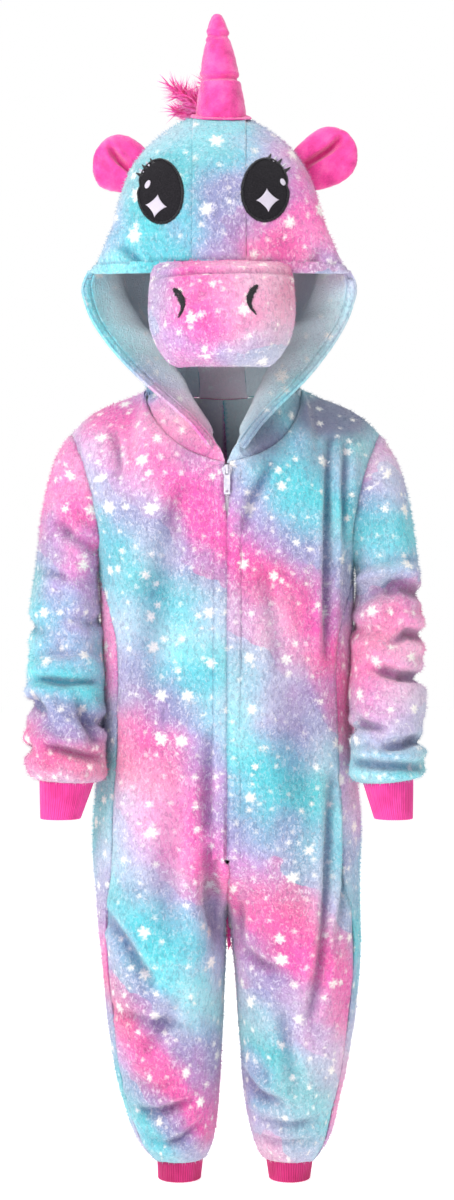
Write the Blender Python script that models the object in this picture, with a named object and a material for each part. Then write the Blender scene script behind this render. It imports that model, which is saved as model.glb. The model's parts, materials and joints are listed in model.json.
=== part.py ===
"""Unicorn onesie: a child's hooded fleece one-piece, standing open as it is worn.

Millimetres here, metres in the mesh. +Z is up, the garment faces -Y, and +X is the
wearer's left. The origin is the middle of the neck, level with the top of the shoulders.
"""

import math

import bmesh
import bpy
import numpy as np
from mathutils import Vector
from mathutils.bvhtree import BVHTree

MM = 0.001
WEARER_RIGHT, WEARER_LEFT = -1, 1
SIDE_NAMES = {WEARER_RIGHT: "right", WEARER_LEFT: "left"}



def table(names, *rows):
    """Rows of numbers as one array a column, by name."""
    return dict(zip(names.split(), np.array(rows, float).T))


# Cloth
FLEECE = 2.8
RIB_KNIT = 2.4
FELT = 1.2
SEAM_GAP = 0.2
SEAM_REACH = 1.5
NECK_REACH = 14.0
LAID_ON = 0.5
EYE_LIFT = 1.2
STUFFED_LIFT = 0.8
COLLAR_LIFT = 1.3

# Zip
ZIP_TOP = -77.0
ZIP_END = -535.0
TAPE_WIDTH = 8.0
TAPE_THICK = 0.8
PLACKET_WIDTH = 17.0
PLACKET_THICK = 1.6
PLACKET_LIFT = 0.8
TAPE_LIFT = 1.3
STRIP_START = 4.2
PLACKET_EDGE = 1.0
PLACKET_PARTING = 1.8
PARTING_Z, PARTING_FADE = -150.0, 30.0
SLIDER_Z = -83.0
ROW_FADE = 4.0
SLIDER_SIZE = (12.4, 3.0, 11.5)
SLIDER_PROUD = 1.6
BRIDGE_HALF = 1.2
BRIDGE_FOOT = 1.4
BRIDGE_GAP = 2.0
BRIDGE_BAR = 1.2
BRIDGE_END = 0.8
BRIDGE_ROOT = 0.6
TAB_WIDTH = 7.4
TAB_LENGTH = 29.0
TAB_THICK = 1.1
TAB_TOP = 0.6
TAB_EYE = (2.0, -6.4, -0.6)
TAB_HOLE = (1.4, 2.2 - TAB_LENGTH, 5.0 - TAB_LENGTH)

# Trunk and legs
UNDERARM_Z = -190.0
CROTCH_Z = -625.0
TRUNK_ROUNDNESS = 2.4
LEG_ROUNDNESS = 2.3
FORK_START = 4.0
FORK_BLEND = 20.0
ZIP_OPENING = 2.2
EDGE_FADE = 12.0
FOLD_FADE = 25.0
YOKE_SHARE = 1.6
BODY_ROWS = 20
ROW_GROWTH = 1.15
YOKE_ROWS = 7
CENTRE_BOW = 2.0
PANEL_COLUMNS = 9
NECK_COLUMNS = 5

# Hood
CROWN_HALF = 30.0
CROWN_TOP = 343.0
CROWN_COLUMNS = 4
CROWN_BOW = 3.0
BAND_WIDTH = 13.0
BAND_THICK = 4.0
BAND_STEPS = 2
HEM_START = 1
NECK_GAPS, CROWN_GAPS, BAND_GAPS = 7, 4, 7
EDGE_STEPS, WALL_STEPS, SIDE_STEPS, FACE_STEPS = 2, 2, 2, 5
HOOD_OPEN_ROWS, HOOD_CLOSED_ROWS = 13, 12
HOOD_MIDDLE_Y = -10.0
HOOD_LEAN = -9.0
LEAN_START, LEAN_HEIGHT = -75.0, 190.0
BACK_CORNER = (0.76, 0.68)


TRUNK = table(
    "z      half  front  back  seam",
    (-190, 155, 104, 97, 90),
    (-215, 153, 105, 97, 78),
    (-250, 151, 106, 97, 62),
    (-300, 150, 106, 97, 57),
    (-360, 151, 107, 99, 56),
    (-420, 154, 108, 103, 55),
    (-480, 159, 109, 107, 55),
    (-540, 160, 109, 111, 55),
    (-600, 158, 106, 113, 57),
    (-650, 156, 102, 110, 60),
)

LEGS = {
    WEARER_RIGHT: table(
        "z      inner  outer  front  back",
        (-540, 1, 160, 104, 108),
        (-600, 1, 156, 102, 108),
        (-637, 0, 152, 98, 105),
        (-666, 1, 150, 94, 101),
        (-700, 3, 146, 89, 96),
        (-740, 4, 142, 83, 90),
        (-780, 6, 137, 77, 83),
        (-815, 8, 130, 71, 76),
        (-845, 11, 120, 64, 68),
        (-870, 14, 111, 57, 59),
        (-890, 19, 101, 48, 49),
        (-902, 25, 88, 35, 36),
    ),
    WEARER_LEFT: table(
        "z      inner  outer  front  back",
        (-540, 1, 160, 104, 108),
        (-600, 3, 160, 102, 108),
        (-637, 5, 160, 98, 105),
        (-666, 8, 159, 94, 101),
        (-700, 11, 156, 89, 96),
        (-740, 13, 152, 83, 90),
        (-780, 16, 146, 77, 83),
        (-815, 19, 138, 71, 76),
        (-845, 23, 131, 64, 68),
        (-870, 29, 125, 57, 59),
        (-890, 36, 117, 48, 49),
        (-902, 43, 107, 35, 36),
    ),
}

NECK = table(
    "half  y    z",
    (1, -98, -74),
    (30, -97, -68),
    (52, -92, -56),
    (75, -78, -35),
    (88, -60, -10),
    (93, -36, 12),
    (90, 5, 19),
    (71, 46, 19),
    (CROWN_HALF, 72, 14),
    (0, 76, 12),
)
NECK_SHOULDER = 6

SHOULDER_TIP = {WEARER_RIGHT: 188, WEARER_LEFT: 184}
SHOULDER = table("reach  z", (0.25, 8), (0.55, -3), (0.8, -16), (1.0, -35))
ARMHOLE = table(
    "reach  y   z",
    (0.825, 0, -190),
    (0.805, 27, -178),
    (0.815, 47, -145),
    (0.84, 54, -112),
    (0.89, 46, -76),
    (0.96, 25, -48),
    (1.0, 0, -35),
)

SLEEVES = {
    WEARER_RIGHT: table(
        "outer  outer_z  inner  inner_z  deep  y",
        (204, -60, 157, -199, 57, 0),
        (212, -86, 158, -208, 56, -2),
        (220, -125, 158, -224, 54, -5),
        (225, -165, 157, -243, 52, -10),
        (229, -205, 155, -264, 50, -16),
        (232, -248, 153, -291, 48, -25),
        (233, -290, 150, -319, 47, -36),
        (233, -330, 147, -348, 47, -48),
        (233, -366, 145, -377, 47, -60),
        (234, -400, 144, -404, 46, -70),
        (233, -424, 140, -428, 44, -75),
        (227, -438, 142, -443, 39, -77),
        (221.5, -443, 151, -448, 32, -77),
    ),
    WEARER_LEFT: table(
        "outer  outer_z  inner  inner_z  deep  y",
        (200, -60, 157, -199, 57, 0),
        (210, -86, 158, -208, 56, -2),
        (219, -125, 158, -224, 54, -5),
        (225, -165, 157, -243, 52, -10),
        (229, -205, 155, -264, 50, -16),
        (231, -248, 153, -291, 48, -25),
        (230, -290, 150, -319, 47, -36),
        (229, -330, 148, -348, 47, -48),
        (231, -366, 147, -377, 47, -60),
        (230, -400, 144, -404, 46, -68),
        (231, -424, 143, -428, 44, -75),
        (227, -438, 145, -443, 39, -77),
        (219.5, -443, 154.5, -448, 32, -77),
    ),
}
SLEEVE_ROWS = 27
SLEEVE_COLUMNS = 14
SLEEVE_ROUNDNESS = 0.94
INNER_CALM = 0.6
HEAD_GAP = 2.0

# A roll pushes the sleeve out (+) or draws it in (-) all round, higher on one edge.
SLEEVE_FOLDS = {
    WEARER_RIGHT: table(
        "outer_z  inner_z  rise  breadth",
        (-235, -262, 2.0, 22),
        (-318, -322, 3.5, 13),
        (-332, -342, -3.5, 8),
        (-346, -392, 5.0, 13),
        (-368, -372, -5.0, 13),
        (-392, -414, 3.5, 12),
        (-410, -424, -4.5, 8),
        (-430, -438, 3.5, 9),
    ),
    WEARER_LEFT: table(
        "outer_z  inner_z  rise  breadth",
        (-246, -214, -3.5, 12),
        (-268, -240, 2.5, 16),
        (-322, -318, -4.0, 12),
        (-354, -346, 4.5, 15),
        (-390, -404, -5.0, 10),
        (-404, -424, 3.0, 8),
        (-417, -424, -4.0, 7),
        (-434, -436, 3.5, 9),
    ),
}

WRIST_CUFFS = {
    WEARER_RIGHT: table("x  z  half  deep  y",
                        (-186, -441, 32.2, 28.9, -77), (-194, -488, 23, 23, -78)),
    WEARER_LEFT: table("x  z  half  deep  y",
                       (187, -441, 29.7, 28.9, -77), (194, -488, 22, 23, -78)),
}
ANKLE_CUFFS = {
    WEARER_RIGHT: table("x  z  half  deep  y",
                        (-56, -898, 27.3, 31.2, 0), (-57, -926, 25, 27, 0)),
    WEARER_LEFT: table("x  z  half  deep  y",
                       (75, -898, 28.2, 31.5, 0), (75, -926, 24, 27, 0)),
}
CUFF_RIBS = 24
RIB_RISE = 0.7

# Each row runs from the hood's front edge, in at its roll, round the side, to the crown seam.
HOOD_OPEN = table(
    "edge  edge_y  edge_z  roll  roll_y  bulge  side  side_y  back_y  back_z",
    (18, -104, -50, 13, -94, 20, 93, -20, 79, 30),
    (33, -109, -30, 24, -89, 18, 94, -14, 83, 46),
    (56, -110, -8, 35, -83, 15, 96, -8, 88, 60),
    (84, -108, 19, 47, -76, 11, 98, -2, 94, 78),
    (101, -106, 38, 57, -70, 7, 100, 2, 98, 90),
    (127, -103, 72, 80, -63, 3, 106, 6, 105, 112),
    (143, -102, 103, 103, -61, 0, 111, 8, 110, 133),
    (147, -102, 122, 113, -62, 0, 113, 8, 112, 145),
    (148, -104, 140, 118, -64, 0, 114, 8, 114, 157),
)
HOOD_CLOSED = table(
    "front_y  edge  edge_y  edge_z  roll  roll_y  bulge  side  side_y  back_y  back_z",
    (-149, 143, -107, 153, 120, -66, 0, 115, 9, 115, 166),
    (-148, 135, -109, 170, 119, -64, 0, 116, 10, 116, 179),
    (-145, 122, -107, 202, 117, -59, 0, 116, 10, 118, 206),
    (-139, 111, -103, 235, 114, -54, 0, 114, 10, 118, 237),
    (-129, 99, -95, 263, 107, -48, 0, 109, 10, 114, 264),
    (-113, 84, -81, 290, 92, -40, 0, 96, 8, 104, 290),
    (-91, 67, -62, 311, 74, -30, 0, 78, 7, 89, 311),
    (-66, 50, -42, 327, 55, -20, 0, 58, 5, 70, 327),
    (-44, 38, -28, 336, 41, -12, 0, 43, 4, 50, 336),
)
ROW_HEIGHTS = {"edge": 0.0, "roll": 0.06, "wall": 0.5, "side": 0.93, "back": 1.0}

MUZZLE = table(
    "z     half  deep",
    (150, 66, 5),
    (146, 76, 12),
    (135, 80, 32),
    (115, 82, 44),
    (92, 83, 50),
    (68, 79, 50),
    (48, 70, 42),
    (36, 60, 28),
    (31, 52, 12),
)
MUZZLE_X = -6.0
MUZZLE_SQUARENESS = 3.2
MUZZLE_ROUNDING = 0.59
MUZZLE_FRONT_COLUMNS, MUZZLE_BACK_COLUMNS = 14, 7
BRIM_BOW = 12.0
BRIM_HALF = 87.0
BRIM_PROUD = 4.5

EYES = {
    WEARER_RIGHT: dict(x=-76.5, z=235.0, half=26.0, tall=39.5, lean=6.0),
    WEARER_LEFT: dict(x=44.0, z=236.0, half=27.0, tall=38.5, lean=-6.0),
}
EYE_RINGS, EYE_COLUMNS = 2, 22

HORN = table(
    "up    radius",
    (0, 29.5),
    (10, 28.8),
    (22, 27.4),
    (33, 25.2),
    (40, 22.6),
    (43, 21.8),
    (48, 22.8),
    (60, 21.2),
    (75, 18.4),
    (86, 15.2),
    (90, 13.2),
    (95, 13.8),
    (104, 12.0),
    (114, 8.6),
    (120, 5.0),
)
HORN_FOOT = (-7.0, -40.0)
HORN_LEAN = (-5.0, 2.0)
HORN_COLUMNS = 16
HORN_TURN_SLOPE = 4.0
HORN_SEAT = (0, 0.4, 0.75, 1.0)
HORN_SETTLE = 30.0
HORN_LEVEL = 0.985 * CROWN_TOP
HORN_TIP = 1.5
COLLAR_FOOT, COLLAR_RIM = 30.8, 36.0
COLLAR_RISE = 2.0
COLLAR_THICK = 1.8

EARS = {
    WEARER_RIGHT: dict(root=(-106, -8, 280), tip=(-158, -18, 296), broad=34, thick=13, lean=23),
    WEARER_LEFT: dict(root=(92, -8, 281), tip=(152, -18, 311), broad=34, thick=13, lean=20),
}
EAR_SHAPE = table("along  broad  thick", (0.0, 0.9, 1.0), (0.3, 0.97, 1.1), (0.6, 1.0, 1.0),
                  (0.82, 0.8, 0.8), (0.95, 0.45, 0.5))
EAR_COLUMNS = 16
EAR_CREASE = 0.55
EAR_CREASE_PLACE, EAR_CREASE_BREADTH = 0.1, 0.3
EAR_SEAT = (0.001, 0.35, 0.7, 1.0)
EAR_REACH_IN = 12.0

# Mane: a strip over the crown. Each lock's rings say how far along it they lie and their size.
MANE_ROWS = 20
MANE_LIFT = 1.0
MANE_HALF = 12.0
MANE_THICK = 2.0
MANE_START_Y = 4.0
MANE_LOCK = 44.0
MANE_DROOP = 26.0
MANE_TUFT_ROWS = 4
MANE_FALL_ROWS = 8
MANE_RINGS = table("along  droop  size", (0.05, 0, 0.86), (0.5, 0.2, 0.82), (1.0, 1.0, 0.2))

# Tail: a padded head, then locks. The head's levels: drop below its top, breadth, depth.
TAIL_ROOT_Z = -420.0
TAIL_END_Z = -684.0
TAIL_HALF = 27.0
TAIL_DEEP = 15.0
TAIL_CLEAR = 3.6
TAIL_LOCKS = (6, 3)
TAIL_HEAD = table("drop  wide  thick", (0, 0.35, 0.45), (6, 0.62, 0.8), (30, 0.8, 1.0))
TAIL_RINGS = table("along  size", (0.04, 0.88), (0.3, 1.1), (0.65, 1.0), (0.88, 0.6), (1.0, 0.15))
TAIL_PROBES = (14.0, 24.0)
TAIL_PROBE_X = 6.0
TAIL_SWAY, TAIL_FAN, TAIL_SPREAD = 5.0, 9.0, 6.0

# Soft troughs that the hanging cloth shows on the front: from, to, depth and breadth.
FRONT_FOLDS = table(
    "x1    z1     x2    z2    deep  broad",
    (-148, -612, -84, -684, 4.0, 14),
    (-96, -838, -48, -842, 3.5, 10),
    (20, -812, 58, -841, 3.5, 11),
    (112, -672, 98, -752, 3.5, 13),
    (131, -520, 137, -700, 4.0, 12),
    (16, -606, 16, -650, 4.0, 9),
    (-20, -572, -16, -640, 4.0, 10),
    (121, -54, 121, -215, 3.0, 9),
)


# Curves and grids


def spline(knots, values, at):
    """Smooth cubic through the values at increasing knots, read at the places given."""
    knots, values, at = (np.asarray(item, float) for item in (knots, values, at))
    shape = (-1,) + (1,) * (values.ndim - 1)
    gaps = np.diff(knots).reshape(shape)
    slopes = np.diff(values, axis=0) / gaps
    middle = (slopes[:-1] * gaps[1:] + slopes[1:] * gaps[:-1]) / (gaps[1:] + gaps[:-1])
    tangents = np.concatenate([slopes[:1], middle, slopes[-1:]])
    index = np.clip(np.searchsorted(knots, at) - 1, 0, len(knots) - 2)
    step = gaps[index]
    t = ((at - knots[index]).reshape(shape)) / step
    start, end = values[index], values[index + 1]
    return (
        (2 * t**3 - 3 * t**2 + 1) * start
        + (t**3 - 2 * t**2 + t) * step * tangents[index]
        + (3 * t**2 - 2 * t**3) * end
        + (t**3 - t**2) * step * tangents[index + 1]
    )


def lengths_along(rows):
    steps = np.linalg.norm(np.diff(rows, axis=0), axis=-1)
    if steps.ndim > 1:
        steps = steps.mean(axis=1)
    return np.concatenate([[0.0], np.cumsum(steps)])


def resample(rows, count):
    """The curve, or the grid of rows, at even steps."""
    rows = np.asarray(rows, float)
    knots = lengths_along(rows)
    return spline(knots, rows, np.linspace(0, knots[-1], count))


def through(controls, steps):
    """A curve through the control points, with the given number of steps between each two."""
    controls = np.asarray(controls, float)
    knots = lengths_along(controls)
    at = [knots[0]]
    for low, high, count in zip(knots[:-1], knots[1:], steps):
        at.extend(np.linspace(low, high, count + 1)[1:])
    return spline(knots, controls, at)


def read(columns, name, z):
    """A column of a table that runs downwards in z, at one height within the table's range."""
    z = min(max(z, columns["z"][-1]), columns["z"][0])
    return float(spline(-columns["z"], columns[name], np.array([-z]))[0])


def smooth_step(value):
    value = np.clip(value, 0, 1)
    return value * value * (3 - 2 * value)


def unit(vectors):
    return vectors / np.maximum(np.linalg.norm(vectors, axis=-1, keepdims=True), 1e-9)


def signed_power(value, power):
    return np.sign(value) * np.abs(value) ** power


def rounded_patch(bottom, top, start, end, turn):
    """The grid between four edges, whose columns rise upright and round over to the top edge."""
    u = np.linspace(0, 1, len(bottom))[None, :, None]
    rise, fall = np.sin(turn), 1 - np.cos(turn)
    part = np.stack([(rise + fall) / 2, fall, rise], axis=-1)[:, None]
    patch = bottom[None] + part * (top - bottom)[None]
    to_start, to_end = start - patch[:, 0], end - patch[:, -1]
    return patch + (1 - u) ** 2 * to_start[:, None] + u**YOKE_SHARE * to_end[:, None]


def trim(grid, **gaps):
    """Draws the named edges of a grid back by so many seam gaps."""
    grid = grid.copy()
    views = {
        "first": (grid[0], grid[1]),
        "last": (grid[-1], grid[-2]),
        "start": (grid[:, 0], grid[:, 1]),
        "end": (grid[:, -1], grid[:, -2]),
    }
    for edge, count in gaps.items():
        border, inside = views[edge]
        border += count * SEAM_GAP * unit(inside - border)
    return grid


def normals_of(grid, closed=False):
    """Unit normals of a grid; a closed grid's rows join end to start."""
    if closed:
        wrapped = np.concatenate([grid[:, -1:], grid, grid[:, :1]], axis=1)
        along = wrapped[:, 2:] - wrapped[:, :-2]
    else:
        along = np.gradient(grid, axis=1)
    return unit(np.cross(along, np.gradient(grid, axis=0)))


# Meshes


def material(name, colour, roughness, metallic=0.0):
    made = bpy.data.materials.new(name)
    made.use_nodes = True
    shader = made.node_tree.nodes["Principled BSDF"]
    shader.inputs["Base Color"].default_value = (*colour, 1.0)
    shader.inputs["Roughness"].default_value = roughness
    shader.inputs["Metallic"].default_value = metallic
    return made


def add_object(name, points, faces, made_of, origin=(0, 0, 0)):
    """A named object from points in millimetres, with its own origin."""
    mesh = bpy.data.meshes.new(name)
    work = bmesh.new()
    origin = np.asarray(origin, float)
    verts = [work.verts.new(Vector((np.asarray(point) - origin) * MM)) for point in points]
    for face in faces:
        work.faces.new([verts[index] for index in face])
    bmesh.ops.recalc_face_normals(work, faces=work.faces)
    bmesh.ops.triangulate(work, faces=work.faces)
    work.to_mesh(mesh)
    work.free()
    mesh.materials.append(made_of)
    mesh.shade_smooth()
    mesh.set_sharp_from_angle(angle=math.radians(50))
    obj = bpy.data.objects.new(name, mesh)
    obj.location = Vector(origin * MM)
    bpy.context.scene.collection.objects.link(obj)
    return obj


def grid_faces(rows, columns, closed, keep):
    """Quads of a grid, as index tuples."""
    across = columns if closed else columns - 1
    return [
        (i * columns + j, i * columns + (j + 1) % columns,
         (i + 1) * columns + (j + 1) % columns, (i + 1) * columns + j)
        for i in range(rows - 1)
        for j in range(across)
        if keep is None or keep(i, j)
    ]


def inward_normals(grid, inside, closed=False):
    """The grid's normals, turned to the side where the inside points lie."""
    normal = normals_of(grid, closed)
    return normal if (normal * (np.asarray(inside, float) - grid)).sum() > 0 else -normal


def share_normals(sheets, reach):
    """Gives sheets that meet at a seam the same normals there, so that their walls meet square."""
    fresh = []
    for own, (grid, normal) in enumerate(sheets):
        flat, out = grid.reshape(-1, 3), normal.reshape(-1, 3).copy()
        total = out.copy()
        for other, (far_grid, far_normal) in enumerate(sheets):
            if other == own:
                continue
            far = far_grid.reshape(-1, 3)
            away = np.linalg.norm(flat[:, None] - far[None], axis=-1)
            nearest = away.argmin(axis=1)
            close = away[np.arange(len(flat)), nearest] < reach
            total[close] += far_normal.reshape(-1, 3)[nearest[close]]
        fresh.append(unit(total).reshape(grid.shape))
    return fresh


def cloth(name, outer, thick, made_of, inside=None, normal=None, closed=False, keep=None, plain=None,
          clamp=None):
    """A wall between a grid of outer points and the same grid moved in by its thickness."""
    base = outer if plain is None else plain
    if normal is None:
        normal = inward_normals(base, inside, closed)
    inner = base + normal * thick
    if clamp is not None:
        outer, inner = clamp(outer), clamp(inner)
    rows, columns = outer.shape[:2]
    count = rows * columns
    faces = grid_faces(rows, columns, closed, keep)
    edges = {}
    for face in faces:
        for a, b in zip(face, face[1:] + face[:1]):
            edges.setdefault((min(a, b), max(a, b)), []).append((a, b))
    walls = [(pair[0][1], pair[0][0], pair[0][0] + count, pair[0][1] + count)
             for pair in edges.values() if len(pair) == 1]
    back = [tuple(index + count for index in reversed(face)) for face in faces]
    used = sorted({index for face in faces + back + walls for index in face})
    renumber = {old: new for new, old in enumerate(used)}
    points = np.concatenate([outer.reshape(-1, 3), inner.reshape(-1, 3)])[used]
    faces = [tuple(renumber[index] for index in face) for face in faces + back + walls]
    return add_object(name, points, faces, made_of)


def closed_rings(name, rings, made_of, origin=(0, 0, 0)):
    """A solid through closed rings; a last or first ring may be one point."""
    points, starts, faces = [], [], []
    for ring in rings:
        starts.append(len(points))
        points.extend(np.atleast_2d(ring))
    for low, high in zip(range(len(rings) - 1), range(1, len(rings))):
        near, far = np.atleast_2d(rings[low]), np.atleast_2d(rings[high])
        a, b = starts[low], starts[high]
        count = max(len(near), len(far))
        for j in range(count):
            k = (j + 1) % count
            if len(near) == 1:
                faces.append((a, b + k, b + j))
            elif len(far) == 1:
                faces.append((a + j, a + k, b))
            else:
                faces.append((a + j, a + k, b + k, b + j))
    for index in (0, len(rings) - 1):
        size = len(np.atleast_2d(rings[index]))
        if size > 2:
            faces.append(tuple(range(starts[index], starts[index] + size)))
    return add_object(name, points, faces, made_of, origin)


def surface_of(*objects):
    """One search tree over the faces of some objects, in millimetres."""
    points, faces = [], []
    for obj in objects:
        start = len(points)
        offset = np.array(obj.location)
        points.extend(Vector((np.array(vert.co) + offset) / MM) for vert in obj.data.vertices)
        faces.extend([start + index for index in face.vertices] for face in obj.data.polygons)
    return BVHTree.FromPolygons(points, faces)


def drop_on(tree, point, direction):
    """Where a ray from far outside meets a surface, and the surface's normal there."""
    direction = Vector(direction).normalized()
    start = Vector(point) - direction * 1000
    hit, normal, _, _ = tree.ray_cast(start, direction)
    if normal.dot(direction) > 0:
        normal = -normal
    return np.array(hit), np.array(normal)


def seat_on(tree, point, gap, outward):
    """The point of a surface nearest to a point, lifted off by a gap."""
    hit, normal, _, _ = tree.find_nearest(Vector(point))
    if normal.dot(Vector(outward)) < 0:
        normal = -normal
    return np.array(hit) + gap * np.array(normal)


# Trunk, legs and yoke


def hood_shift(z):
    """How far the hood and neck sit off the zip's line, growing with height."""
    return HOOD_LEAN * smooth_step((np.asarray(z, float) - LEAN_START) / LEAN_HEIGHT)


def rounded_section(turn, half, ahead, behind, roundness):
    """A squared oval's x and y, where a turn of 0 is the front and pi the back."""
    lean = np.cos(turn)
    x = half * signed_power(np.sin(turn), 2 / roundness)
    y = -signed_power(lean, 2 / roundness) * np.where(lean > 0, ahead, behind)
    return x, y


def half_loop(side, z, t, back):
    """One row of a body panel: the trunk's quarter, changing to the leg's half loop."""
    seam = math.radians(read(TRUNK, "seam", z))
    turn = math.pi - t * (math.pi - seam) if back else t * seam
    half, ahead, behind = (read(TRUNK, name, z) for name in ("half", "front", "back"))
    trunk_x, trunk_y = rounded_section(turn, side * half, ahead, behind, TRUNK_ROUNDNESS)
    names = ("inner", "outer", "front", "back")
    inner, outer, ahead, behind = (read(LEGS[side], name, z) for name in names)
    start = -math.pi / 2
    turn = start - t * (1.5 * math.pi - seam) if back else start + t * (math.pi / 2 + seam)
    leg_x, leg_y = rounded_section(turn, side * (outer - inner) / 2, ahead, behind, LEG_ROUNDNESS)
    leg_x = leg_x + side * (inner + outer) / 2
    fork_top = ZIP_END - FORK_START
    split = smooth_step((fork_top - z) / (fork_top - CROTCH_Z))
    x = (1 - split) * trunk_x + split * leg_x
    y = (1 - split) * trunk_y + split * leg_y
    return np.stack([x, y, np.full_like(x, z)], axis=-1)


def centre_edge(z):
    """Half the width left open along the front for the zip."""
    return SEAM_GAP + ZIP_OPENING * smooth_step((np.asarray(z, float) - ZIP_END) / EDGE_FADE + 0.5)


def neck_line(first, last, count):
    """A stretch of the neck seam as half widths, between two rows of its table."""
    neck = np.stack([NECK["half"], NECK["y"], NECK["z"]], axis=-1)
    knots = lengths_along(neck)
    return spline(knots, neck, np.linspace(knots[first], knots[last], count))


def hood_seam(count, crown_at):
    """The hood's lower edge, point by point on the straight steps of the body's neck edge."""
    front = neck_line(0, NECK_SHOULDER, NECK_COLUMNS + 1)
    back = neck_line(NECK_SHOULDER, len(NECK["z"]) - 1, NECK_COLUMNS + 1)
    steps = np.concatenate([front, back[1:]])
    knots = lengths_along(steps)
    end = np.interp(-crown_at, -steps[NECK_COLUMNS:, 0], knots[NECK_COLUMNS:])
    at = np.linspace(0, end, count)
    return np.stack([np.interp(at, knots, steps[:, axis]) for axis in range(3)], axis=-1)


def neck_points(side, first, last, count):
    """A stretch of the neck seam on one side of the garment."""
    line = neck_line(first, last, count)
    line[:, 0] = side * line[:, 0] + hood_shift(line[:, 2])
    return line


def armhole_line(side, back, parts):
    """The armhole from the underarm up to the shoulder tip, at parts of its length."""
    sign = 1 if back else -1
    x = side * SHOULDER_TIP[side] * ARMHOLE["reach"]
    line = np.stack([x, sign * ARMHOLE["y"], ARMHOLE["z"]], axis=-1)
    knots = lengths_along(line)
    return spline(knots, line, np.asarray(parts) * knots[-1])


def shoulder_line(side, count):
    """The shoulder seam from the neck to the shoulder tip."""
    neck = neck_points(side, NECK_SHOULDER, NECK_SHOULDER + 1, 2)[0]
    tip = side * SHOULDER_TIP[side]
    line = [neck]
    for reach, z in zip(SHOULDER["reach"], SHOULDER["z"]):
        line.append((neck[0] + reach * (tip - neck[0]), neck[1] * (1 - reach), z))
    return resample(line, count)


def yoke(side, back):
    """The panel above the underarm, between centre, armhole, neck and shoulder."""
    t = np.linspace(0, 1, PANEL_COLUMNS + 1)
    chest = half_loop(side, UNDERARM_Z, t, back)
    neck_count = NECK_COLUMNS + 1
    if back:
        neck = neck_points(side, NECK_SHOULDER, len(NECK["z"]) - 1, neck_count)[::-1]
    else:
        neck = neck_points(side, 0, NECK_SHOULDER, neck_count)
    shoulder = shoulder_line(side, PANEL_COLUMNS - neck_count + 2)
    top = np.concatenate([neck, shoulder[1:]])
    turn = np.linspace(0, math.pi / 2, YOKE_ROWS)
    bow = np.array([0, CENTRE_BOW if back else -CENTRE_BOW, 0])
    rise = np.sin(turn)[:, None]
    start = chest[0] + rise * (top[0] - chest[0]) + 4 * rise * (1 - rise) * bow
    end = armhole_line(side, back, np.sin(turn))
    return rounded_patch(chest, top, start, end, turn)[::-1]


def press_folds(grid, folds):
    """Presses soft troughs into a front panel's points."""
    grid = grid.copy()
    flat = grid[..., (0, 2)]
    for x1, z1, x2, z2, deep, broad in zip(*folds.values()):
        start, along = np.array([x1, z1]), np.array([x2 - x1, z2 - z1])
        place = np.clip(((flat - start) @ along) / (along @ along), 0, 1)
        away = np.linalg.norm(flat - start - place[..., None] * along, axis=-1)
        grid[..., 1] += deep * np.exp(-((away / broad) ** 2)) * smooth_step(-grid[..., 1] / FOLD_FADE)
    return grid


def body_panel(side, back):
    """A front or back panel from the shoulder to the ankle, as a grid of rows."""
    t = np.linspace(0, 1, PANEL_COLUMNS + 1)
    foot = LEGS[side]["z"][-1]
    even = np.linspace(0, 1, BODY_ROWS)
    heights = UNDERARM_Z + (foot - UNDERARM_Z) * (1 - (1 - even) ** ROW_GROWTH)
    rows = [half_loop(side, z, t, back) for z in heights[1:]]
    grid = np.concatenate([yoke(side, back), np.stack(rows)])
    opened = np.full(len(grid), SEAM_GAP) if back else centre_edge(grid[:, 0, 2])
    fade = np.exp(-np.abs(grid[..., 0] - grid[:, :1, 0]) / EDGE_FADE)
    grid[..., 0] += side * opened[:, None] * fade
    in_leg = smooth_step((CROTCH_Z - grid[:, 0, 2]) / FORK_BLEND + 1)
    grid[:, 0, 1] += (SEAM_GAP if back else -SEAM_GAP) * in_leg
    return press_folds(grid, FRONT_FOLDS)


def body_grids():
    """The four body panels' grids and normals, by node name."""
    grids = {}
    for side, side_name in SIDE_NAMES.items():
        for back in (False, True):
            grids[("back_" if back else "front_") + side_name] = body_panel(side, back)
    sheets = []
    for grid in grids.values():
        inside = np.stack([grid[..., 0].mean(axis=1, keepdims=True) + 0 * grid[..., 0],
                           0 * grid[..., 1], grid[..., 2]], axis=-1)
        sheets.append((grid, inward_normals(grid, inside)))
    return dict(zip(grids, zip(grids.values(), share_normals(sheets, SEAM_REACH))))


def make_body(paint, grids, neck_sheets):
    """The front and back panels, mitred to the hood along the neck."""
    made = {}
    for name, (grid, normal) in grids.items():
        normal = share_normals([(grid[:1], normal[:1])] + neck_sheets, NECK_REACH)[0]
        normal = np.concatenate([normal, grids[name][1][1:]])
        made[name] = cloth(name, trim(grid, first=1, end=1, last=1), FLEECE, paint["fleece"], normal=normal)
    return made


# Sleeves and cuffs


def sleeve_ring(side, row, turn):
    """One ring of a sleeve: the turn runs from the outer edge over the front to the inner."""
    outer = np.array([side * row["outer"], row["y"], row["outer_z"]])
    inner = np.array([side * row["inner"], row["y"], row["inner_z"]])
    middle, reach = (outer + inner) / 2, (outer - inner) / 2
    deep = np.array([0, -row["deep"], 0])
    return (middle + np.outer(signed_power(np.cos(turn), SLEEVE_ROUNDNESS), reach)
            + np.outer(signed_power(np.sin(turn), SLEEVE_ROUNDNESS), deep))


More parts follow.
